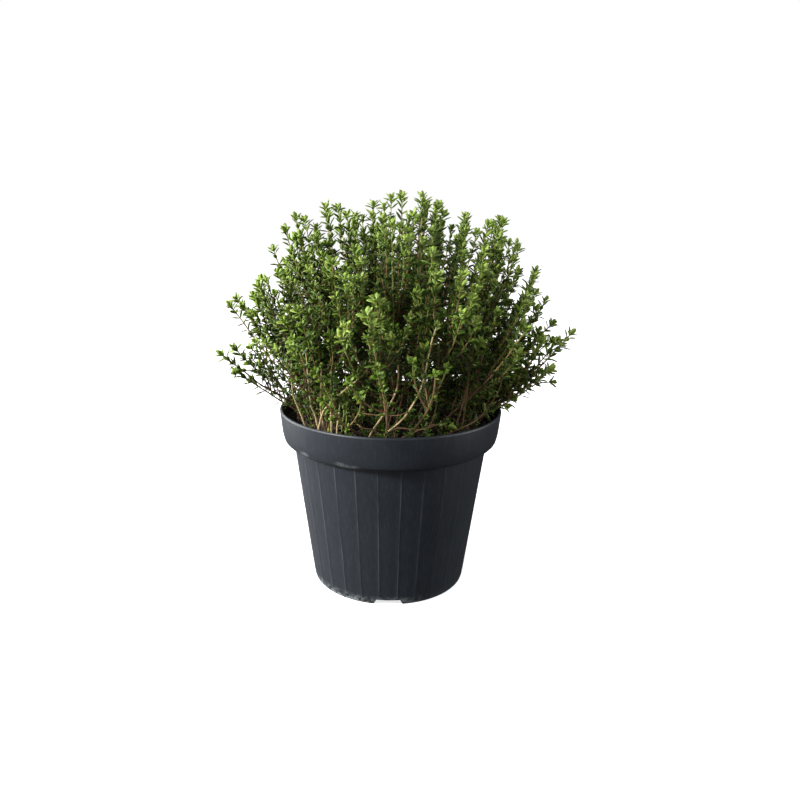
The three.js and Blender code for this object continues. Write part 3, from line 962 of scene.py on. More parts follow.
# %% [markdown]
# ## A thyme leaf
# A leaf is six millimetres long, so it shows as a handful of pixels, and thousands are needed. Each
# copy may only have a few dozen faces. A blade is closed: rings of four points (left edge, midrib,
# right edge, keel) between a point at its stalk and one at its tip. The keel under the midrib gives
# it a fleshy thickness that shows when it is seen edge-on. The full-grown and the young ones have
# twenty-four triangles and the small ones of the tufts sixteen. Young leaves are broader for their
# length, and old ones narrow because their edges roll under. Some are flat, some curled and some
# folded, which keeps the copies from looking stamped. The UV map runs along and across the blade, and
# its underside lies two units away so that a finish can tell it.

# %% Leaf blades
FULL_RINGS = [(0.12, 0.4), (0.48, 1.0), (0.82, 0.66)]
SMALL_RINGS = [(0.28, 0.9), (0.68, 0.9)]
LEAF_THICKNESS = 0.07
KEEL_LEAST = 0.75
UNDERSIDE_SHIFT = 2.0
LEAF_SHAPES = {
    "leaf_flat": {"rings": FULL_RINGS, "width": 0.2, "fold": 0.03, "curl": 0.08, "twist": 0.1},
    "leaf_curled": {"rings": FULL_RINGS, "width": 0.17, "fold": 0.05, "curl": 0.22, "twist": -0.15},
    "leaf_folded": {"rings": FULL_RINGS, "width": 0.21, "fold": 0.09, "curl": -0.07, "twist": 0.05},
    "young_flat": {"rings": FULL_RINGS, "width": 0.3, "fold": 0.07, "curl": 0.06, "twist": 0.05},
    "young_curled": {"rings": FULL_RINGS, "width": 0.27, "fold": 0.1, "curl": 0.18, "twist": -0.1},
    "young_folded": {"rings": FULL_RINGS, "width": 0.32, "fold": 0.14, "curl": -0.04, "twist": 0},
    "small_flat": {"rings": SMALL_RINGS, "width": 0.24, "fold": 0.03, "curl": 0.05, "twist": 0.1},
    "small_curled": {"rings": SMALL_RINGS, "width": 0.2, "fold": 0.05, "curl": 0.15, "twist": -0.1},
    "small_folded": {"rings": SMALL_RINGS, "width": 0.26, "fold": 0.09, "curl": -0.1, "twist": 0},
}


def leaf_point(x, side, width, depth, shape):
    """A point of a blade: x along it, side from -1 to 1 across it."""
    y = side * width * shape["width"]
    rise = shape["fold"] * abs(side) * width - shape["curl"] * x**2 - depth
    return (x, y, rise + shape["twist"] * x * y)


def leaf_points(shape):
    """The point at the stalk, the rings, and the point at the tip."""
    points = [(0, 0, 0)]
    for x, width in shape["rings"]:
        points.append(leaf_point(x, -1, width, 0, shape))
        points.append(leaf_point(x, 0, width, 0, shape))
        points.append(leaf_point(x, 1, width, 0, shape))
        keel = LEAF_THICKNESS * max(width, KEEL_LEAST)
        points.append(leaf_point(x, 0, width, keel, shape))
    points.append(leaf_point(1, 0, 0, 0, shape))
    return points


def leaf_faces(rings):
    """Faces counter-clockwise as seen from outside, the upper side of each ring first."""
    faces = []
    last = 4 * rings + 1
    for side in range(4):
        ahead = (side + 1) % 4
        faces.append((0, 1 + ahead, 1 + side))
        for ring in range(rings - 1):
            low, high = 1 + 4 * ring, 5 + 4 * ring
            faces.append((low + side, low + ahead, high + ahead, high + side))
        faces.append((last - 4 + side, last - 4 + ahead, last))
    return faces


def leaf_uv(point, index, rings, on_top):
    """Along the blade, and from 0 at its left edge to 1 at its right."""
    is_ring = 0 < index <= 4 * rings
    across = {0: 0.0, 1: 0.5, 2: 1.0, 3: 0.5}[(index - 1) % 4] if is_ring else 0.5
    return (point[0], across + (0 if on_top else UNDERSIDE_SHIFT))


def make_leaf(name, shape):
    mesh = bpy.data.meshes.new(name)
    points, rings = leaf_points(shape), len(shape["rings"])
    mesh.from_pydata(points, [], leaf_faces(rings))
    layer = mesh.uv_layers.new(name="UVMap")
    for face in mesh.polygons:
        on_top = not any((v - 1) % 4 == 3 and 0 < v <= 4 * rings for v in face.vertices)
        for loop in face.loop_indices:
            index = mesh.loops[loop].vertex_index
            layer.data[loop].uv = leaf_uv(points[index], index, rings, on_top)
    return link(bpy.data.objects.new(name, mesh))


leaves = {name: make_leaf(name, shape) for name, shape in LEAF_SHAPES.items()}
print({name: triangles(leaf) for name, leaf in leaves.items()})

# %% [markdown]
# ## The tree that grows the leaves
# Thyme's leaves stand in pairs, each pair turned a quarter from the one below. In the angle above a
# leaf sits a tuft of smaller ones, and each shoot ends in a rosette of crossed pairs, the youngest
# upright in its middle. All three are the same act: copy a point a few times, turn each copy about
# the stem, lift it towards the tip and put a leaf there. So one Python function writes that part of
# the tree. A leaf is as long as its point of the wire says, and the older it is the narrower.

# %% One whorl of leaves
X_AXIS = (1, 0, 0)
Y_AXIS = (0, 1, 0)
Z_AXIS = (0, 0, 1)

LEAF_FOOT = 0.7
OLD_BREADTH = 0.82
YOUNG_BREADTH_GAIN = 0.25
YOUNG_BREADTH_RATE = 1.5


def shape_choice(graph, given, labels):
    """Several objects as instances to pick from."""
    shapes = []
    for label in labels:
        values = {"Object": given[label], "As Instance": True}
        shapes.append(graph.add("GeometryNodeObjectInfo", values=values)["Geometry"])
    return graph.add("GeometryNodeJoinGeometry", values={"Geometry": shapes})["Geometry"]


def pick(graph, seed):
    """The number of one of three shapes, drawn for each point."""
    limits = {"Min_002": 0, "Max_002": 2, "Seed": seed}
    return graph.add("FunctionNodeRandomValue", {"data_type": "INT"}, limits)["Value_002"]


def whorl(graph, given, shoots, chosen, amount, shapes, rule, seed):
    """Copies of the chosen points, each with a leaf. rule gives a copy's turn, lift, size, rise and youth."""
    points, rotation = shoots
    values = {"Geometry": points, "Selection": chosen, "Amount": amount}
    copies = graph.add("GeometryNodeDuplicateElements", {"domain": "POINT"}, values)
    angle, lift, size, rise, youth = rule(copies["Duplicate Index"])
    quarter = (field(graph, "node_number") % 2) * (math.pi / 2)
    around = turned(graph, rotation, Z_AXIS, angle + quarter)
    values = {"X": field(graph, "stem_radius") * LEAF_FOOT, "Z": rise}
    offset = graph.add("ShaderNodeCombineXYZ", values=values)["Vector"]
    values = {"Vector": offset, "Rotation": around}
    outward = graph.add("FunctionNodeRotateVector", values=values)["Vector"]
    values = {"Geometry": copies["Geometry"], "Offset": outward}
    moved = graph.add("GeometryNodeSetPosition", values=values)["Geometry"]
    moved = store(graph, moved, "tone", draw(graph, 0.0, 1.0, given["Seed"] + seed))
    moved = store(graph, moved, "youth", youth)
    length = size * field(graph, "leaf_scale") * given["Leaf length"]
    breadth = graph.clamp(youth * YOUNG_BREADTH_RATE) * YOUNG_BREADTH_GAIN + OLD_BREADTH
    values = {"X": length, "Y": length * breadth, "Z": length}
    scale = graph.add("ShaderNodeCombineXYZ", values=values)["Vector"]
    values = {
        "Points": moved,
        "Instance": shape_choice(graph, given, shapes),
        "Pick Instance": True,
        "Instance Index": pick(graph, given["Seed"] + (seed + 1)),
        "Rotation": turned(graph, around, Y_AXIS, 0 - lift),
        "Scale": scale,
    }
    return graph.add("GeometryNodeInstanceOnPoints", values=values)["Instances"]


print("breadth of an old leaf", OLD_BREADTH, "and of a young one", OLD_BREADTH + YOUNG_BREADTH_GAIN)

# %% [markdown]
# A particle system could strew leaves along the stems, but it knows neither pairs nor tips. The tree
# has the part above three times, each with a rule of its own. Two leaves face each other in a pair, a
# tuft fans out on both sides, and a rosette stacks crossed pairs that stand more upright from one to
# the next. Whether a node has a pair, and a tuft, is drawn by lot: the leafier the stem is there, the
# likelier.

# %% Leaf tree
FULL_LEAVES = ("leaf_flat", "leaf_curled", "leaf_folded")
YOUNG_LEAVES = ("young_flat", "young_curled", "young_folded")
SMALL_LEAVES = ("small_flat", "small_curled", "small_folded")
ALL_LEAVES = FULL_LEAVES + YOUNG_LEAVES + SMALL_LEAVES
LEAF_INPUTS = {
    **{name: "Object" for name in ALL_LEAVES},
    "Leaf length": "Float",
    "Lift spread": "Float",
    "Tuft leaves": "Int",
    "Tuft size": "Float",
    "Tuft share": "Float",
    "Rosette leaves": "Int",
    "Seed": "Int",
    "Finish": "Material",
}
PAIR = {"turn": 0.3, "sizes": (0.84, 1.12)}
TUFT = {
    "turn": 0.3,
    "fan": 0.75,
    "lifts": (0.6, 1.25),
    "sizes": (0.75, 1.25),
    "rise": 0.3 * MM,
    "rise_step": 0.45 * MM,
    "youth": 0.3,
    "first_node": 2.5,
}
ROSETTE = {
    "turn": 0.2,
    "lift": 0.42,
    "lift_step": 0.36,
    "lift_play": 0.16,
    "size": 1.02,
    "size_step": 0.14,
    "sizes": (0.86, 1.1),
    "drop": 0.8 * MM,
    "rise_step": 0.75 * MM,
    "youth": 0.9,
    "youth_step": 0.1,
}


def shoot_points(graph, given):
    """The points of the shoots, with a rotation whose Z runs along the stem."""
    curve = graph.add("GeometryNodeMeshToCurve", values={"Mesh": given["Geometry"]})["Curve"]
    points = graph.add("GeometryNodeCurveToPoints", {"mode": "EVALUATED"}, {"Curve": curve})
    values = {"Primary Axis": points["Tangent"], "Secondary Axis": points["Normal"]}
    settings = {"primary_axis": "Z", "secondary_axis": "X"}
    rotation = graph.add("FunctionNodeAxesToRotation", settings, values)["Rotation"]
    return points["Points"], rotation


def leaf_tree():
    graph, given = geometry_tree("thyme_leaves", LEAF_INPUTS)
    shoots = shoot_points(graph, given)
    seed = given["Seed"]
    leafy, is_node, youth = (field(graph, name) for name in ("leafy", "is_node", "youth"))
    at_tip = (field(graph, "node_number") < 0.5) * is_node

    def play(amount, number):
        return draw(graph, -amount, amount, seed + number)

    def pair(order):
        angle = order * math.pi + play(PAIR["turn"], 1)
        lift = field(graph, "lift") + play(1.0, 2) * given["Lift spread"]
        return angle, lift, draw(graph, *PAIR["sizes"], seed + 3), 0.0, youth

    def tuft(order):
        rank = graph.maths("FLOOR", order / 2)
        angle = (order % 2) * math.pi + (rank - 1) * TUFT["fan"] + play(TUFT["turn"], 4)
        lift = draw(graph, *TUFT["lifts"], seed + 5)
        size = given["Tuft size"] * draw(graph, *TUFT["sizes"], seed + 6)
        rise = rank * TUFT["rise_step"] + TUFT["rise"]
        return angle, lift, size, rise, youth * (1 - TUFT["youth"]) + TUFT["youth"]

    def rosette(order):
        rank = graph.maths("FLOOR", order / 2)
        angle = (order % 2) * math.pi + rank * (math.pi / 2) + play(ROSETTE["turn"], 7)
        lift = rank * ROSETTE["lift_step"] + ROSETTE["lift"] + play(ROSETTE["lift_play"], 8)
        size = (ROSETTE["size"] - rank * ROSETTE["size_step"]) * draw(graph, *ROSETTE["sizes"], seed + 11)
        rise = rank * ROSETTE["rise_step"] - ROSETTE["drop"]
        return angle, lift, size, rise, youth * (rank * ROSETTE["youth_step"] + ROSETTE["youth"])

    grows = (draw(graph, 0.0, 1.0, seed + 9) < leafy) * is_node
    below_tip = field(graph, "node_number") > TUFT["first_node"]
    tufted = (draw(graph, 0.0, 1.0, seed + 10) < leafy * given["Tuft share"]) * is_node * below_tip
    parts = [
        whorl(graph, given, shoots, grows, 2, FULL_LEAVES, pair, 20),
        whorl(graph, given, shoots, tufted, given["Tuft leaves"], SMALL_LEAVES, tuft, 30),
        whorl(graph, given, shoots, at_tip, given["Rosette leaves"], YOUNG_LEAVES, rosette, 40),
    ]
    joined = graph.add("GeometryNodeJoinGeometry", values={"Geometry": parts})["Geometry"]
    return close_tree(graph, joined, given["Finish"])


leaf_grower = leaf_tree()
print("the leaf tree has", len(leaf_grower.nodes), "nodes")

# %% [markdown]
# ## The tree that grows the stems
# A stem is a tube along the same wire, as thick as its points say. Thyme's stems swell at each node,
# where the leaves join, so the radius also reads the mark that tells nodes from the points between.

# %% Stem tree
STEM_INPUTS = {
    "Sides": "Int",
    "Swelling": "Float",
    "Finish": "Material",
}


def stem_tree():
    graph, given = geometry_tree("thyme_stems", STEM_INPUTS)
    curve = graph.add("GeometryNodeMeshToCurve", values={"Mesh": given["Geometry"]})["Curve"]
    radius = field(graph, "stem_radius") * (field(graph, "is_node") * given["Swelling"] + 1)
    values = {"Radius": 1.0, "Resolution": given["Sides"]}
    profile = graph.add("GeometryNodeCurvePrimitiveCircle", values=values)["Curve"]
    values = {"Curve": curve, "Profile Curve": profile, "Scale": radius, "Fill Caps": True}
    tube = graph.add("GeometryNodeCurveToMesh", values=values)["Mesh"]
    return close_tree(graph, tube, given["Finish"])


stem_grower = stem_tree()
print("the stem tree has", len(stem_grower.nodes), "nodes")

# %% [markdown]
# ## Leaf finish
# Young leaves are lime green, older ones deep green, and every underside is duller and greyer, and
# darker as painted shade, though less so on a young leaf. A few leaves turn yellow. The light line of
# the midrib runs down the middle of each blade. A picture of a leaf could be laid on each one, but at
# this size three things that it carries are enough: its UV map, its youth, and a tone drawn once for
# each leaf. A slow noise over the whole plant makes neighbouring leaves agree a little.

# %% Leaf finish
LIME = (0.332, 0.462, 0.092, 1)
MID_GREEN = (0.108, 0.205, 0.014, 1)
DEEP_GREEN = (0.026, 0.064, 0.007, 1)
YELLOWED = (0.34, 0.26, 0.04, 1)
GREY_SHADED_UNDERSIDE = (0.055, 0.062, 0.035, 1)
MIDRIB = (0.34, 0.44, 0.07, 1)
LEAF_STOPS = [(0.0, DEEP_GREEN), (0.42, MID_GREEN), (0.95, LIME)]
UNDERSIDE_GREY_AND_SHADE_SHARE = 0.72
YOUNG_UNDERSIDE_LOSS = 0.5
PATCH_SCALE = 35
PATCH_SHARE = 0.5
TONE_SHARE = 0.45
YELLOWING_TONES = (0.95, 1.0)
MIDRIB_EDGE = (0.04, 0.2)
MOTTLE_SCALE = 900
VEINS = {"rate": 34, "slant": 7}
LEAF_RELIEF = {"groove": -0.6, "veins": 0.12, "mottle": 0.4}


def leaf_finish():
    material, graph = new_finish("thyme_leaf_finish")
    uv = graph.add("ShaderNodeUVMap", {"uv_map": "UVMap"})["UV"]
    parts = graph.add("ShaderNodeSeparateXYZ", values={"Vector": uv})
    under = parts["Y"] > (1 + UNDERSIDE_SHIFT) / 2
    across = graph.maths("ABSOLUTE", parts["Y"] - under * UNDERSIDE_SHIFT - 0.5) * 2
    tone = attribute(graph, "tone")
    youth = attribute(graph, "youth")
    patch = noise_at(graph, place_on(graph), PATCH_SCALE)
    # Youth carries the painted shade of lowered vigour, so leaves deep in the plant come out darker
    ripeness = graph.clamp(youth + (tone - 0.5) * TONE_SHARE + (patch - 0.5) * PATCH_SHARE)
    blade = graph.add("ShaderNodeValToRGB", {"stops": LEAF_STOPS}, {"Fac": ripeness})["Color"]
    blade = graph.mix(graph.fade(tone, *YELLOWING_TONES) * 0.5, blade, YELLOWED)
    rib = (1 - graph.fade(across, *MIDRIB_EDGE)) * 0.4
    blade = graph.mix(rib, blade, MIDRIB)
    # The underside is dulled and greyed, and darkened as painted shade
    grey_and_shade = UNDERSIDE_GREY_AND_SHADE_SHARE - graph.clamp(youth) * YOUNG_UNDERSIDE_LOSS
    blade = graph.mix(under * grey_and_shade, blade, GREY_SHADED_UNDERSIDE)
    mottle = noise_at(graph, place_on(graph), MOTTLE_SCALE, 3.0)
    blade = graph.mix(mottle * 0.3, blade, DEEP_GREEN)
    veins = graph.maths("SINE", parts["X"] * VEINS["rate"] - across * VEINS["slant"])
    groove = 1 - graph.fade(across, 0.0, 0.25)
    relief = groove * LEAF_RELIEF["groove"] + veins * LEAF_RELIEF["veins"] + mottle * LEAF_RELIEF["mottle"]
    values = {
        "Base Color": blade,
        "Roughness": mottle * 0.25 + 0.3,
        "Normal": bump(graph, relief, 0.2 * MM, 0.6),
        "Subsurface Weight": 0.12,
        "Subsurface Radius": (0.9, 1.0, 0.2),
        "Subsurface Scale": 0.8 * MM,
        "Specular IOR Level": 0.24,
    }
    shader = graph.add("ShaderNodeBsdfPrincipled", values=values)["BSDF"]
    close_finish(graph, shader)
    return material


thyme_leaf_finish = leaf_finish()
print("leaf finish has", len(thyme_leaf_finish.node_tree.nodes), "nodes")

# %% [markdown]
# ## Stem finish
# A thyme stem is green and soft at its tip, straw-coloured and reddish along its middle, and dark
# brown bark at its foot. Its age, which the wires gave it, picks the colour from a ramp. The ramp's
# far end is pale straw again, for the bare stems in front that the light has bleached. Stretched
# noise draws the fibres.

# %% Stem finish
STEM_STOPS = [
    (0.0, (0.26, 0.32, 0.06, 1)),
    (0.18, (0.34, 0.22, 0.09, 1)),
    (0.42, (0.25, 0.145, 0.07, 1)),
    (0.7, (0.1, 0.06, 0.035, 1)),
    (0.82, (0.5, 0.36, 0.18, 1)),
    (1.0, (0.72, 0.56, 0.3, 1)),
]
STEM_RED = (0.24, 0.08, 0.04, 1)
STEM_DARK = (0.045, 0.026, 0.02, 1)
STEM_FIBRE = (0.12, 0.08, 0.04, 1)
BLOTCH_SCALE = 160
SHADE_SCALE = 24
FIBRE_SCALE = 3200
FIBRE_STRETCH = (1, 1, 0.12)
BLEACHED_AGES = (0.7, 0.82)


def stem_finish():
    material, graph = new_finish("thyme_stem_finish")
    age = attribute(graph, "age")
    blotch = noise_at(graph, place_on(graph), BLOTCH_SCALE, 3.0)
    fibre = noise_at(graph, place_on(graph, FIBRE_STRETCH), FIBRE_SCALE, 3.0, 0.65)
    shade = noise_at(graph, place_on(graph), SHADE_SCALE, 2.0)
    on_ramp = graph.clamp(age + (blotch - 0.5) * 0.22)
    bark = graph.add("ShaderNodeValToRGB", {"stops": STEM_STOPS}, {"Fac": on_ramp})["Color"]
    unbleached = 1 - graph.fade(age, *BLEACHED_AGES)
    bark = graph.mix(graph.fade(shade, 0.48, 0.62) * unbleached * 0.75, bark, STEM_DARK)
    bark = graph.mix(graph.fade(blotch, 0.54, 0.7) * 0.4, bark, STEM_RED)
    bark = graph.mix(fibre * 0.3, bark, STEM_FIBRE)
    values = {
        "Base Color": bark,
        "Roughness": fibre * 0.3 + 0.5,
        "Normal": bump(graph, fibre, 0.12 * MM, 0.7),
        "Specular IOR Level": 0.3,
    }
    shader = graph.add("ShaderNodeBsdfPrincipled", values=values)["BSDF"]
    close_finish(graph, shader)
    return material


thyme_stem_finish = stem_finish()
print("stem finish has", len(thyme_stem_finish.node_tree.nodes), "nodes")

# %% [markdown]
# ## The pot
# A nursery pot is moulded in one shot: a thin wall with a deep band at its rim, thin upright ribs,
# and a skirt at its foot with notches to let water out. A wall like this could be thickened from a
# surface, but its inside differs from its outside, so the whole closed profile is turned round the
# axis. Its corners are given as a radius, a height and how much each is rounded, because on a real
# moulding small rounded corners catch the light.

# %% The pot's profile
FOOT_RADIUS = 45.2
BODY_TOP_RADIUS = 57
BODY_TOP_HEIGHT = 85.6
FLOOR_UNDER = 3.4
FLOOR_TOP = 4.8
SKIRT_RADIUS = 42.6
OUTER_CORNERS = [
    (44.3, 0, 0.3),
    (FOOT_RADIUS, 1, 0.6),
    (BODY_TOP_RADIUS, BODY_TOP_HEIGHT, 0.4),
    (59.6, 85.8, 0.8),
    (62.2, 87.6, 1.6),
    (63.4, 91, 3),
    (RIM_RADIUS, 105.2, 0.5),
    (64.3, POT_HEIGHT, 0.3),
    (63.7, POT_HEIGHT, 0.25),
]
INNER_CORNERS = [
    (63.1, 105.2, 0.5),
    (61.5, 92.3, 1.2),
    (55.7, 86.25, 1.2),
    (44.56, FLOOR_TOP, 1.0),
    (0, FLOOR_TOP, 0),
    (0, FLOOR_UNDER, 0),
    (41.6, FLOOR_UNDER, 0.3),
    (SKIRT_RADIUS, 0, 0.3),
]
ARC_STEPS = 3


def rounded(before, corner, after, radius):
    """Points of an arc-like curve that takes the place of a corner."""
    before, corner, after = (np.array(point[:2], float) for point in (before, corner, after))
    toward = [(end - corner) / np.linalg.norm(end - corner) for end in (before, after)]
    start, end = corner + toward[0] * radius, corner + toward[1] * radius
    for t in np.linspace(0, 1, ARC_STEPS + 1):
        yield (1 - t) ** 2 * start + 2 * t * (1 - t) * corner + t**2 * end


def pot_profile():
    """The wall's closed outline as radius and height, up the outside and down the inside."""
    corners = OUTER_CORNERS + INNER_CORNERS
    outline = []
    for i, corner in enumerate(corners):
        before, after = corners[i - 1], corners[(i + 1) % len(corners)]
        if corner[2]:
            outline.extend(rounded(before, corner, after, corner[2]))
        else:
            outline.append(np.array(corner[:2], float))
    return outline


def body_radius(height):
    return lerp(FOOT_RADIUS, BODY_TOP_RADIUS, height / BODY_TOP_HEIGHT)


profile = pot_profile()
print("the pot's profile has", len(profile), "points")

# %% [markdown]
# Turning the profile gives a grid of columns and rows. The columns crowd together at each rib, so the
# ribs can be raised by a formula and no face is wasted on the plain wall between them. Rows are added
# up the body where the ribs start and end.

# %% Turn the wall and raise its ribs
RIBS = 28
RIB_HALF_WIDTH = 0.45
RIB_DEPTH = 0.15
RIB_ENDS = (2.4, 84.6)
RIB_FADE = 1.2
RIB_COLUMNS = [-0.6, -0.34, -0.12, 0.12, 0.34, 0.6]
PLAIN_COLUMNS = [0.25, 0.42, 0.58, 0.75]
FOOT_TURN = 1.2
OUTSIDE_SLACK = 0.1
BODY_ROWS = [2.3, 3, 3.7, 12, 30, 48, 66, 82, 83.3, 84, 84.7]


def column_angles():
    """Angles round the pot, close together at each rib."""
    pitch = 2 * math.pi / RIBS
    angles = []
    for rib in range(RIBS):
        centre = (rib + 0.5) * pitch - math.pi / 2
        angles += [centre + offset / body_radius(BODY_TOP_HEIGHT / 2) for offset in RIB_COLUMNS]
        angles += [centre + share * pitch for share in PLAIN_COLUMNS]
    return np.array(angles)


def rib_rise(angles, height):
    """How far the ribs stand out at each angle of one row."""
    pitch = 2 * math.pi / RIBS
    from_rib = (angles + math.pi / 2) % pitch - pitch / 2
    away = np.abs(from_rib) * body_radius(height) / RIB_HALF_WIDTH
    low, high = RIB_ENDS
    ends = np.clip((height - low) / RIB_FADE, 0, 1) * np.clip((high - height) / RIB_FADE, 0, 1)
    return RIB_DEPTH * ends * np.where(away < 1, np.cos(away * math.pi / 2), 0)


def pot_rows():
    """The profile with the body's rows put in between its foot and its ledge."""
    foot_end = next(i for i, point in enumerate(profile) if point[1] > FOOT_TURN)
    rows = [np.array([body_radius(height), height]) for height in BODY_ROWS]
    return profile[:foot_end] + rows + profile[foot_end:]


def revolve(name, rows, angles, rise=None):
    """Turns rows of radius and height round the axis. A row of no radius is a pole."""
    points, rings = [], []
    for radius, height in rows:
        if radius < 1e-6:
            rings.append([len(points)] * len(angles))
            points.append((0, 0, height * MM))
            continue
        is_outside = radius > body_radius(height) - OUTSIDE_SLACK
        out = radius + (rise(angles, height) if rise and is_outside else 0 * angles)
        rings.append(list(range(len(points), len(points) + len(angles))))
        points += [(r * math.cos(a) * MM, r * math.sin(a) * MM, height * MM) for r, a in zip(out, angles)]
    faces = []
    for low, high in zip(rings, rings[1:] + rings[:1]):
        for i in range(len(angles)):
            j = (i + 1) % len(angles)
            corners = list(dict.fromkeys((low[i], low[j], high[j], high[i])))
            if len(corners) > 2:
                faces.append(corners)
    mesh = bpy.data.meshes.new(name)
    mesh.from_pydata(points, [], faces)
    return link(bpy.data.objects.new(name, mesh))


pot = revolve("pot_wall", pot_rows(), column_angles(), rib_rise)
print("the turned wall has", triangles(pot), "triangles")

# %% [markdown]
# Water leaves through round holes in the floor and through notches in the skirt under it. They could
# be left out of the grid, but its columns don't follow their edges. So solids of their shapes are
# taken away with a Boolean modifier, which leaves clean edges and a closed wall.

# %% Cut the notches and the drainage holes
NOTCHES = 4
NOTCH_FOOT = 18
NOTCH_TOP = 13.6
NOTCH_HEIGHT = 3.3
NOTCH_BELOW = 1
NOTCH_DEPTHS = (34.8, 50)
DRAIN_HOLES = 8
DRAIN_HOLE_RADIUS = 3.2
DRAIN_HOLE_CIRCLE = 31
DRAIN_HOLE_SIDES = 32
DRAIN_HOLE_HEIGHTS = (2, 6)
SHARP_ANGLE = math.radians(38)


def prism(outline, place):
    """A closed solid between two copies of an outline. place puts a point of it, near or far."""
    count = len(outline)
    points = [place(u, v, end) for end in (0, 1) for u, v in outline]
    faces = [tuple(reversed(range(count))), tuple(range(count, 2 * count))]
    faces += [(i, (i + 1) % count, count + (i + 1) % count, count + i) for i in range(count)]
    return points, faces


def notch_cutter(angle):
    wide, narrow = NOTCH_FOOT / 2, NOTCH_TOP / 2
    foot = [(-wide, -NOTCH_BELOW), (wide, -NOTCH_BELOW)]
    outline = [*foot, (narrow, NOTCH_HEIGHT), (-narrow, NOTCH_HEIGHT)]
    turn = Matrix.Rotation(angle, 3, "Z")
    return prism(outline, lambda u, v, end: turn @ Vector((NOTCH_DEPTHS[end], u, v)))


def hole_cutter(angle):
    x, y = DRAIN_HOLE_CIRCLE * math.cos(angle), DRAIN_HOLE_CIRCLE * math.sin(angle)
    sides = [2 * math.pi * side / DRAIN_HOLE_SIDES for side in range(DRAIN_HOLE_SIDES)]
    outline = [(DRAIN_HOLE_RADIUS * math.cos(a), DRAIN_HOLE_RADIUS * math.sin(a)) for a in sides]
    return prism(outline, lambda u, v, end: Vector((x + u, y + v, DRAIN_HOLE_HEIGHTS[end])))


def turned_round(count, cutter):
    return [cutter(2 * math.pi * i / count) for i in range(count)]


def cut(piece, solids):
    """Cuts closed solids out of a piece."""
    points, faces = [], []
    for own_points, own_faces in solids:
        first = len(points)
        points += [point * MM for point in own_points]
        faces += [tuple(first + i for i in face) for face in own_faces]
    mesh = bpy.data.meshes.new("cutter")
    mesh.from_pydata(points, [], faces)
    cutter = link(bpy.data.objects.new("cutter", mesh))
    modifier = piece.modifiers.new("cut", "BOOLEAN")
    modifier.object = cutter
    modifier.operation = "DIFFERENCE"
    modifier.solver = "MANIFOLD"
    made = piece.evaluated_get(bpy.context.evaluated_depsgraph_get())
    piece_mesh = bpy.data.meshes.new_from_object(made)
    piece.modifiers.clear()
    piece.data = piece_mesh
    bpy.data.objects.remove(cutter)


cut(pot, turned_round(NOTCHES, notch_cutter) + turned_round(DRAIN_HOLES, hole_cutter))
pot.data.shade_smooth()
pot.data.set_sharp_from_angle(angle=SHARP_ANGLE)
print("the cut wall has", triangles(pot), "triangles")

# %% [markdown]
# ## Pot finish
# The plastic is a dark slate with a satin skin. Moulding leaves fine upright streaks where the tool
# was polished. Pots travel nested in one another, so the crests of the ribs are rubbed pale, and they
# are painted paler still on the side that faces the front and the left, a painted highlight where the
# light falls. Three pale smears on the band's lower edge are painted highlights, broken up like
# scuffs. Hard water and potting dust leave a whitish bloom round the foot. Each of these is a mask,
# made from the place on the pot and broken up by noise, and the masks are laid over one another.

# %% Pot finish
SLATE = (0.012, 0.0155, 0.021, 1)
SLATE_PALE = (0.03, 0.037, 0.048, 1)
CREST_WEAR_AND_HIGHLIGHT = (0.085, 0.1, 0.115, 1)
LIME_DUST_AND_HIGHLIGHT = (0.34, 0.37, 0.38, 1)
DUST_AND_HIGHLIGHT_BEARING = Vector((-0.5, -0.87, 0))
# Spots of painted highlight on the band's rounded lower edge, broken up like scuffs
SCUFF_HIGHLIGHTS = [Vector((-47, -41.5, 88.6)), Vector((-26, -56.5, 88)), Vector((-20, -58.5, 87.4))]
SCUFF_HIGHLIGHT_REACH = 6
SMEAR = (1, 1, 2.4)
CREST_EDGE = (0.1, 0.42)
# A quarter turn lines the bearing up with the ribs, and a whole one keeps it above 0
BEARING_SHIFT = 2.5 * math.pi
STREAK_STRETCH = (1, 1, 0.02)
WEAR_STRETCH = (1, 1, 0.35)
BLOOM_HEIGHTS = (0.4, 6.5)
# Each noise has a scale, a level of detail and a roughness
POT_NOISES = {
    "streak": (1300, 3.0, 0.7),
    "cloud": (38, 4.0, 0.6),
    "grain": (2600, 2.0),
    "speckle": (420, 5.0, 0.75),
    "wear": (85, 3.0),
}


def near(graph, place, spot, reach):
    """1 at a spot, and 0 from some distance on, in a smear that is longer than it is high."""
    away = graph.add("ShaderNodeVectorMath", {"operation": "SUBTRACT"}, {0: place, 1: spot * MM})["Vector"]
    away = graph.add("ShaderNodeVectorMath", {"operation": "MULTIPLY"}, {0: away, 1: SMEAR})["Vector"]
    apart = graph.add("ShaderNodeVectorMath", {"operation": "LENGTH"}, {0: away})["Value"]
    return 1 - graph.fade(apart, 0.0, reach * MM)


def rib_crest(graph, parts):
    """1 along the crest of each rib, and 0 between the ribs and on the rim's band."""
    pitch = 2 * math.pi / RIBS
    bearing = graph.maths("ARCTAN2", parts["Y"], parts["X"]) + BEARING_SHIFT
    from_rib = graph.maths("ABSOLUTE", bearing % pitch - pitch / 2)
    radius = (parts["X"] ** 2 + parts["Y"] ** 2) ** 0.5
    below_band = parts["Z"] < RIB_ENDS[1] * MM
    start, end = (limit * MM for limit in CREST_EDGE)
    return (1 - graph.fade(from_rib * radius, start, end)) * below_band


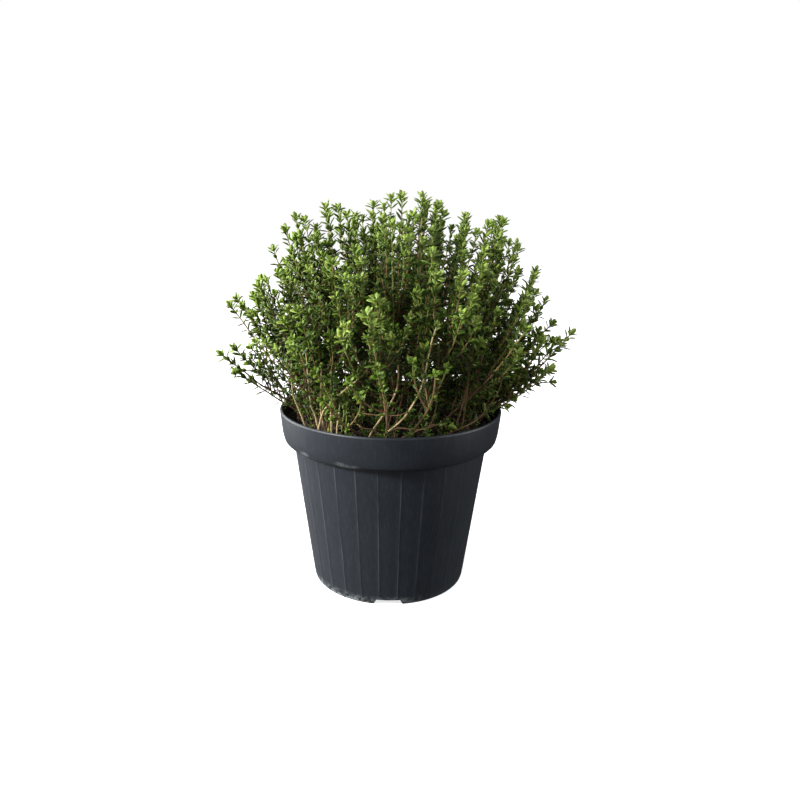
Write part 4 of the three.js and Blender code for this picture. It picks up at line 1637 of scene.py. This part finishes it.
def pot_finish():
    material, graph = new_finish("pot_plastic")
    place = place_on(graph)
    parts = graph.add("ShaderNodeSeparateXYZ", values={"Vector": place})
    streak = noise_at(graph, place_on(graph, STREAK_STRETCH), *POT_NOISES["streak"])
    cloud = noise_at(graph, place, *POT_NOISES["cloud"])
    grain = noise_at(graph, place, *POT_NOISES["grain"])
    speckle = noise_at(graph, place, *POT_NOISES["speckle"])
    drawn = graph.fade(streak, 0.46, 0.68)
    skin = graph.mix(cloud * 0.4 + drawn * 0.45, SLATE, SLATE_PALE)
    crest_wear_and_highlight = graph.fade(noise_at(graph, place_on(graph, WEAR_STRETCH), *POT_NOISES["wear"]), 0.4, 0.62)
    facing = (parts["X"] * DUST_AND_HIGHLIGHT_BEARING.x + parts["Y"] * DUST_AND_HIGHLIGHT_BEARING.y) * (1 / (FOOT_RADIUS * MM))
    # The extra paleness towards the front-left is painted highlight, the rest is rubbed wear
    crest_wear_and_highlight = crest_wear_and_highlight * (graph.fade(facing, 0.55, 1.05) * 0.75 + 0.25)
    skin = graph.mix(rib_crest(graph, parts) * (crest_wear_and_highlight * 0.65 + 0.05), skin, CREST_WEAR_AND_HIGHLIGHT)
    low = 1 - graph.fade(parts["Z"], BLOOM_HEIGHTS[0] * MM, BLOOM_HEIGHTS[1] * MM)
    bloom = low * (graph.fade(facing, 0.5, 0.95) * 0.8 + 0.12) * graph.fade(speckle, 0.42, 0.62)
    # Painted highlights on the band's lower edge, broken up like scuffs, laid over the dust
    scuff_highlight = sum((near(graph, place, spot, SCUFF_HIGHLIGHT_REACH) for spot in SCUFF_HIGHLIGHTS), 0.0)
    scuff_highlight = graph.clamp(scuff_highlight * 1.3) * graph.fade(speckle, 0.34, 0.66) * 0.5
    dust_and_highlight = graph.clamp(bloom + scuff_highlight + graph.fade(speckle, 0.66, 0.74) * 0.12)
    values = {
        "Base Color": graph.mix(dust_and_highlight, skin, LIME_DUST_AND_HIGHLIGHT),
        "Roughness": graph.clamp(0.36 + cloud * 0.12 + streak * 0.08 + dust_and_highlight * 0.4),
        "Normal": bump(graph, streak * 1.1 + grain * 0.2 + dust_and_highlight * 0.3, 0.09 * MM, 0.7),
        "Specular IOR Level": 0.5,
    }
    close_finish(graph, graph.add("ShaderNodeBsdfPrincipled", values=values)["BSDF"])
    return material


pot.data.materials.clear()
pot.data.materials.append(pot_finish())
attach(pot, "root")
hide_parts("pot")
# The scuffs are painted highlights, and the worn crests are partly painted highlight
print("the pot has", len(SCUFF_HIGHLIGHTS), "scuffs and", RIBS, "worn crests")

# %% [markdown]
# ## Potting mix
# The mix is dark peat with an uneven top a few millimetres under the lip. Its body is a closed solid
# whose top is a polar grid, raised by the same waves as the solid model's and roughened with noise.
# What makes it peat is what lies on it: crumbs, a few white grains of perlite, bits of root and
# fallen leaves, which come after it.

# %% The mix's body
MIX_RINGS = 44
MIX_COLUMNS = 140
MIX_ROUGHNESS = 1.5
CLOD_SIZE = 7
CLOD_NOISE = (0.7, 2.1, 4)
MIX_SIDE = [(43.9, 5.2), (55.0, 86.4), (60.9, 92.5)]
MIX_EDGE_RADIUS = 62


def mix_surface(x, y):
    """The height of the mix's top with its clods."""
    clods = noise.fractal(Vector((x, y, 0)) / CLOD_SIZE, *CLOD_NOISE)
    return mix_top(x, y) + MIX_ROUGHNESS * clods


def make_mix():
    angles = np.linspace(0, 2 * math.pi, MIX_COLUMNS, endpoint=False)
    points = [(0, 0, MIX_SIDE[0][1])]
    for radius, height in MIX_SIDE:
        points += [(radius * math.cos(a), radius * math.sin(a), height) for a in angles]
    for ring in range(MIX_RINGS):
        radius = MIX_EDGE_RADIUS * (1 - ring / MIX_RINGS)
        spots = [(radius * math.cos(a), radius * math.sin(a)) for a in angles]
        points += [(x, y, mix_surface(x, y)) for x, y in spots]
    points.append((0, 0, mix_surface(0, 0)))
    faces = [(0, 1 + (i + 1) % MIX_COLUMNS, 1 + i) for i in range(MIX_COLUMNS)]
    rings = len(MIX_SIDE) + MIX_RINGS
    for ring in range(rings - 1):
        low = 1 + ring * MIX_COLUMNS
        for i in range(MIX_COLUMNS):
            j = (i + 1) % MIX_COLUMNS
            faces.append((low + i, low + j, low + MIX_COLUMNS + j, low + MIX_COLUMNS + i))
    last = 1 + (rings - 1) * MIX_COLUMNS
    faces += [(last + i, last + (i + 1) % MIX_COLUMNS, last + MIX_COLUMNS) for i in range(MIX_COLUMNS)]
    mesh = bpy.data.meshes.new("mix_body")
    mesh.from_pydata([Vector(point) * MM for point in points], [], faces)
    mesh.shade_smooth()
    return link(bpy.data.objects.new("mix_body", mesh))


mix = make_mix()
print("the mix has", triangles(mix), "triangles")

# %% [markdown]
# Moist peat is nearly black, and what stands up from it dries to brown. Fine noise makes the crumbs
# and broad noise the damp and the dry places. The kinds of litter differ only in their two colours,
# roughness and relief, so one function makes all four finishes. It reads a tone that is drawn once
# for each grain.

# %% Finishes of the mix and its litter
PEAT = (0.012, 0.008, 0.006, 1)
PEAT_DRY = (0.05, 0.034, 0.023, 1)
CRUMB_COLOURS = ((0.01, 0.007, 0.005, 1), (0.075, 0.05, 0.033, 1))
PERLITE_COLOURS = ((0.42, 0.4, 0.36, 1), (0.75, 0.74, 0.7, 1))
FIBRE_COLOURS = ((0.09, 0.055, 0.03, 1), (0.36, 0.27, 0.16, 1))
DRY_LEAF_COLOURS = ((0.055, 0.06, 0.02, 1), (0.22, 0.2, 0.07, 1))
CRUMB_NOISE = (700, 5.0, 0.75)
DAMP_NOISE = (60, 3.0)
CLOD_CELLS = 900
LITTER_NOISE = (1500, 3.0, 0.7)


def mix_finish():
    material, graph = new_finish("peat")
    place = place_on(graph)
    crumbs = noise_at(graph, place, *CRUMB_NOISE)
    damp = noise_at(graph, place, *DAMP_NOISE)
    values = {"Vector": place, "Scale": CLOD_CELLS}
    clod = graph.add("ShaderNodeTexVoronoi", values=values)["Distance"]
    colour = graph.mix(graph.clamp(crumbs * 0.9 + (damp - 0.5) * 0.6 - 0.1), PEAT, PEAT_DRY)
    values = {
        "Base Color": colour,
        "Roughness": crumbs * 0.2 + 0.78,
        "Normal": bump(graph, crumbs + clod * 0.6, 0.5 * MM, 0.9),
    }
    close_finish(graph, graph.add("ShaderNodeBsdfPrincipled", values=values)["BSDF"])
    return material


def litter_finish(name, dark, pale, rough, relief):
    """Matt grains that differ in tone from one to the next."""
    material, graph = new_finish(name)
    speckle = noise_at(graph, place_on(graph), *LITTER_NOISE)
    tone = graph.clamp(attribute(graph, "tone") * 0.7 + speckle * 0.5 - 0.1)
    values = {
        "Base Color": graph.mix(tone, dark, pale),
        "Roughness": speckle * 0.2 + rough,
        "Normal": bump(graph, speckle, relief * MM, 0.8),
    }
    close_finish(graph, graph.add("ShaderNodeBsdfPrincipled", values=values)["BSDF"])
    return material


peat_crumbs = litter_finish("peat_crumbs", *CRUMB_COLOURS, rough=0.75, relief=0.2)
perlite = litter_finish("perlite_grain", *PERLITE_COLOURS, rough=0.7, relief=0.15)
root_fibre = litter_finish("root_fibre", *FIBRE_COLOURS, rough=0.6, relief=0.1)
dry_leaf = litter_finish("dry_leaf", *DRY_LEAF_COLOURS, rough=0.55, relief=0.15)
print("litter is", *[finish.name for finish in (peat_crumbs, perlite, root_fibre, dry_leaf)])

# %% [markdown]
# ## Litter
# Grains could be placed one by one, but they lie by chance, so a geometry tree strews points over a
# surface from a fixed seed. On each point it puts one of three shapes, turned any way round and
# tilted. The draw for its size is squared, so that most grains are small and a few are large.

# %% Scatter tree
SCATTER_INPUTS = {
    "First shape": "Object",
    "Second shape": "Object",
    "Third shape": "Object",
    "Density": "Float",
    "Least size": "Float",
    "Largest size": "Float",
    "Tilt": "Float",
    "Lift": "Float",
    "Seed": "Int",
    "Finish": "Material",
}
SCATTER_SHAPES = ("First shape", "Second shape", "Third shape")


def scatter_tree():
    graph, given = geometry_tree("litter", SCATTER_INPUTS)
    seed = given["Seed"]
    values = {"Mesh": given["Geometry"], "Density": given["Density"], "Seed": seed}
    settings = {"distribute_method": "RANDOM"}
    spots = graph.add("GeometryNodeDistributePointsOnFaces", settings, values)
    size = draw(graph, 0.0, 1.0, seed + 1) ** 2.0
    size = given["Least size"] + size * (given["Largest size"] - given["Least size"])
    rotation = turned(graph, spots["Rotation"], Z_AXIS, draw(graph, 0.0, 2 * math.pi, seed + 2))
    rotation = turned(graph, rotation, X_AXIS, draw(graph, -1.0, 1.0, seed + 3) * given["Tilt"])
    rotation = turned(graph, rotation, Y_AXIS, draw(graph, -1.0, 1.0, seed + 4) * given["Tilt"])
    points = store(graph, spots["Points"], "tone", draw(graph, 0.0, 1.0, seed + 5))
    offset = graph.add("ShaderNodeCombineXYZ", values={"Z": size * given["Lift"]})["Vector"]
    values = {"Geometry": points, "Offset": offset}
    points = graph.add("GeometryNodeSetPosition", values=values)["Geometry"]
    values = {
        "Points": points,
        "Instance": shape_choice(graph, given, SCATTER_SHAPES),
        "Pick Instance": True,
        "Instance Index": pick(graph, seed + 6),
        "Rotation": rotation,
        "Scale": size,
    }
    pieces = graph.add("GeometryNodeInstanceOnPoints", values=values)["Instances"]
    return close_tree(graph, pieces, given["Finish"])


scatterer = scatter_tree()
print("the scatter tree has", len(scatterer.nodes), "nodes")

# %% [markdown]
# Crumbs are lumps of twenty faces with their points pushed about. A fibre is a thin three-sided rod
# with a kink. Fallen leaves are the plant's own leaf blades, so they need no shape of their own.

# %% Shapes of the litter
LUMPS = 3
LUMP_UNEVENNESS = 0.5
LUMP_STRIDE = 9.1
FIBRE_SHAPES = [(0.1, 0.03), (-0.16, 0.022), (0.04, 0.04)]


def make_lump(name, seed):
    """A ball of twenty faces and unit width, with uneven points."""
    mesh = bpy.data.meshes.new(name)
    solid = bmesh.new()
    bmesh.ops.create_icosphere(solid, subdivisions=1, radius=0.5)
    for point in solid.verts:
        point.co *= 1 + LUMP_UNEVENNESS * noise.noise(point.co * 3 + Vector((seed * LUMP_STRIDE, 0, 0)))
    solid.to_mesh(mesh)
    solid.free()
    return link(bpy.data.objects.new(name, mesh))


def make_fibre(name, kink, thickness):
    """A rod of unit length along X with a kink in its middle."""
    spots = [(-0.5, 0, 0), (-0.15, kink, 0.02), (0.2, -kink * 0.3, 0.05), (0.5, kink * 0.4, 0)]
    points = []
    for i, (x, y, z) in enumerate(spots):
        width = thickness * (0.5 if i in (0, 3) else 1)
        for side in range(3):
            angle = 2 * math.pi * side / 3
            points.append((x, y + width * math.cos(angle), z + width * math.sin(angle)))
    faces = [(2, 1, 0), (9, 10, 11)]
    for ring in range(3):
        for side in range(3):
            low, ahead = 3 * ring + side, 3 * ring + (side + 1) % 3
            faces.append((low, ahead, ahead + 3, low + 3))
    mesh = bpy.data.meshes.new(name)
    mesh.from_pydata(points, [], faces)
    return link(bpy.data.objects.new(name, mesh))


lumps = [make_lump(f"lump_{i}", i) for i in range(LUMPS)]
fibres = [make_fibre(f"fibre_{i}", *shape) for i, shape in enumerate(FIBRE_SHAPES)]
print("a lump has", triangles(lumps[0]), "triangles, a fibre", triangles(fibres[0]))

# %% [markdown]
# The tree strews over a disc that follows the mix's top and ends short of the pot's wall. Each kind
# of litter has its shapes and finish, how many lie on a square millimetre, its sizes, how far its
# grains tilt in degrees, and how high they sit on the surface as a share of their size. Crumbs are
# tilted most and fibres least.

# %% Scatter the litter
LITTER_RADIUS = 58.5
LITTER_RINGS = 20
LITTER_COLUMNS = 64
LITTER = [
    ("mix_crumbs", lumps, peat_crumbs, 0.24, (0.7, 3.2), 40, 0.1),
    ("mix_perlite", lumps, perlite, 0.0035, (0.8, 1.9), 40, 0.3),
    ("mix_fibres", fibres, root_fibre, 0.014, (4, 12), 14, 0.06),
    ("fallen_leaves", [leaves[name] for name in FULL_LEAVES], dry_leaf, 0.008, (3.6, 6.4), 28, 0.1),
]


def top_disc(name):
    """The part of the mix's top that litter may lie on."""
    rings, columns = LITTER_RINGS, LITTER_COLUMNS
    angles = np.linspace(0, 2 * math.pi, columns, endpoint=False)
    points = [(0, 0)]
    for ring in range(1, rings + 1):
        radius = LITTER_RADIUS * ring / rings
        points += [(radius * math.cos(a), radius * math.sin(a)) for a in angles]
    faces = [(0, 1 + i, 1 + (i + 1) % columns) for i in range(columns)]
    for ring in range(rings - 1):
        low = 1 + ring * columns
        for i in range(columns):
            j = (i + 1) % columns
            faces.append((low + i, low + columns + i, low + columns + j, low + j))
    mesh = bpy.data.meshes.new(name)
    mesh.from_pydata([Vector((x, y, mix_surface(x, y))) * MM for x, y in points], [], faces)
    return link(bpy.data.objects.new(name, mesh))


def scatter(name, shapes, finish, per_square_mm, sizes, tilt, lift, seed):
    values = dict(zip(SCATTER_SHAPES, shapes))
    values["Density"] = per_square_mm / MM**2
    values["Least size"], values["Largest size"] = (size * MM for size in sizes)
    values["Tilt"] = math.radians(tilt)
    values["Lift"] = lift
    values["Seed"] = seed
    values["Finish"] = finish
    return grow(top_disc(name), scatterer, values)


litter = [scatter(*kind, seed=100 * (i + 1)) for i, kind in enumerate(LITTER)]
mix.data.materials.append(mix_finish())
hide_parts("potting_mix")
for piece in [mix, *litter]:
    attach(piece, "root")
print({piece.name: triangles(piece) for piece in litter})

# %% [markdown]
# ## Growing the sprigs
# Each sprig becomes two pieces, its stems and its leaves, because they have different finishes. Both
# stand for the same solid, which is then hidden. The wire is grown twice: once by each tree.

# %% Grow the sprigs
LEAF_LENGTH = 5.9
LEAF_VALUES = {
    **{name: leaves[name] for name in ALL_LEAVES},
    "Leaf length": LEAF_LENGTH * MM,
    "Lift spread": math.radians(24),
    "Tuft leaves": 5,
    "Tuft size": 0.64,
    "Tuft share": 0.66,
    "Rosette leaves": 6,
    "Finish": thyme_leaf_finish,
}
STEM_VALUES = {"Sides": 5, "Swelling": 0.28, "Finish": thyme_stem_finish}


def dress(name, shoots, seed, nodes=()):
    """Grows the stems and the leaves of some shoots, and puts them in place of the solids."""
    stems = grow(wires(name + "_stems", shoots), stem_grower, STEM_VALUES, keep=("age",))
    leaf_values = {**LEAF_VALUES, "Seed": seed}
    foliage = grow(wires(name + "_leaves", shoots), leaf_grower, leaf_values, keep=("youth",))
    for piece, slot in ((stems, "thyme_stem"), (foliage, "thyme_leaf")):
        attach(piece, "root")
        if nodes:
            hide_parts(*nodes)
    return stems, foliage


grown = list(dress("low_growth", loose_shoots, 1))
for sprig, node in enumerate(SPRIG_NODES):
    grown += dress(node.replace("thyme_", ""), all_shoots[sprig], 1000 * (sprig + 1), [node])
print(sum(map(triangles, grown[::2])), "triangles of stem,", sum(map(triangles, grown[1::2])), "of leaf")

# %% [markdown]
# ## Studio
# A window high on the left gives the main light, the wall beside it a broad soft one, and the right
# side a weak fill. The air around glows a little too, more from above and from the left, while the
# camera sees it white. The floor is pale paper that shines, so that it stays as white as the
# background behind it and hardly a shadow shows. It is hidden from bounced light and reflections,
# because its shine would light the plant and the pot from below.

# %% Studio
PAPER = (0.9, 0.9, 0.9, 1)
PAPER_WHITE = (1, 1, 1, 1)
PAPER_GLOW = 0.84
PAPER_NOISE = (300, 4.0)
FLOOR_HALF = 2.5
AIR_GLOW = {"above": 0.22, "left": 0.38, "all_round": 0.05}
LAMPS = {
    "window": {"place": (-1.0, -0.6, 0.78), "size": 0.3, "power": 27},
    "left_wall": {"place": (-1.0, 0.35, 0.3), "size": 0.9, "power": 14.5},
    "right_fill": {"place": (1.0, -0.15, 0.3), "size": 0.8, "power": 6.5},
}
LAMP_AIM = (0, 0, 0.12)


def make_floor():
    mesh = bpy.data.meshes.new("floor")
    half = FLOOR_HALF
    outline = [(-half, -half, 0), (half, -half, 0), (half, half, 0), (-half, half, 0)]
    mesh.from_pydata(outline, [], [(0, 1, 2, 3)])
    material, graph = new_finish("paper")
    fibre = noise_at(graph, place_on(graph), *PAPER_NOISE)
    values = {
        "Base Color": graph.mix(fibre * 0.1, PAPER, PAPER_WHITE),
        "Roughness": 0.9,
        "Emission Color": PAPER,
        "Emission Strength": PAPER_GLOW,
    }
    close_finish(graph, graph.add("ShaderNodeBsdfPrincipled", values=values)["BSDF"])
    mesh.materials.append(material)
    floor = link(bpy.data.objects.new("floor", mesh))
    floor.visible_diffuse = False
    floor.visible_glossy = False
    floor.visible_transmission = False
    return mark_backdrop(floor)


def make_light(name, place, size, power):
    lamp = bpy.data.lights.new(name, "AREA")
    lamp.shape = "DISK"
    lamp.size = size
    lamp.energy = power
    light = link(bpy.data.objects.new(name, lamp))
    light.location = place
    light.rotation_euler = (Vector(LAMP_AIM) - Vector(place)).to_track_quat("-Z", "Y").to_euler()


def make_world():
    world = bpy.data.worlds.new("studio")
    world.use_nodes = True
    graph = Graph(world.node_tree)
    ways = graph.add("ShaderNodeLightPath")
    air = graph.add("ShaderNodeTexCoord")["Generated"]
    way = graph.add("ShaderNodeSeparateXYZ", values={"Vector": air})
    left = 1 - graph.fade(way["X"], -1.0, 0.5)
    above = graph.fade(way["Z"], -0.3, 0.7)
    glow = above * AIR_GLOW["above"] + left * AIR_GLOW["left"] + AIR_GLOW["all_round"]
    soft = graph.add("ShaderNodeBackground", values={"Color": PAPER_WHITE, "Strength": glow})
    white = graph.add("ShaderNodeBackground", values={"Color": PAPER_WHITE, "Strength": 1.0})
    values = {"Fac": ways["Is Camera Ray"], "Shader": soft[0], "Shader_001": white[0]}
    seen = graph.add("ShaderNodeMixShader", values=values)["Shader"]
    graph.add("ShaderNodeOutputWorld", values={"Surface": seen})
    bpy.context.scene.world = world


make_floor()
make_world()
for name, lamp in LAMPS.items():
    make_light(name, **lamp)
bpy.context.scene.view_settings.view_transform = "Standard"
print("the studio has", len(LAMPS), "lamps")

# %% [markdown]
# ## Finish
# The leaf blades, lumps and fibres that the trees copied were only patterns, so they are removed. Then
# the box of the solid model and that of the dressed one are printed side by side.

# %% Finish
for shape in [*leaves.values(), *lumps, *fibres]:
    bpy.data.objects.remove(shape)

visual_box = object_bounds()


def corners(box):
    return [[round(float(v), 5) for v in corner] for corner in box]


{"solid": corners(solid_box), "visual": corners(visual_box)}
print("solid", corners(solid_box), "visual", corners(visual_box))
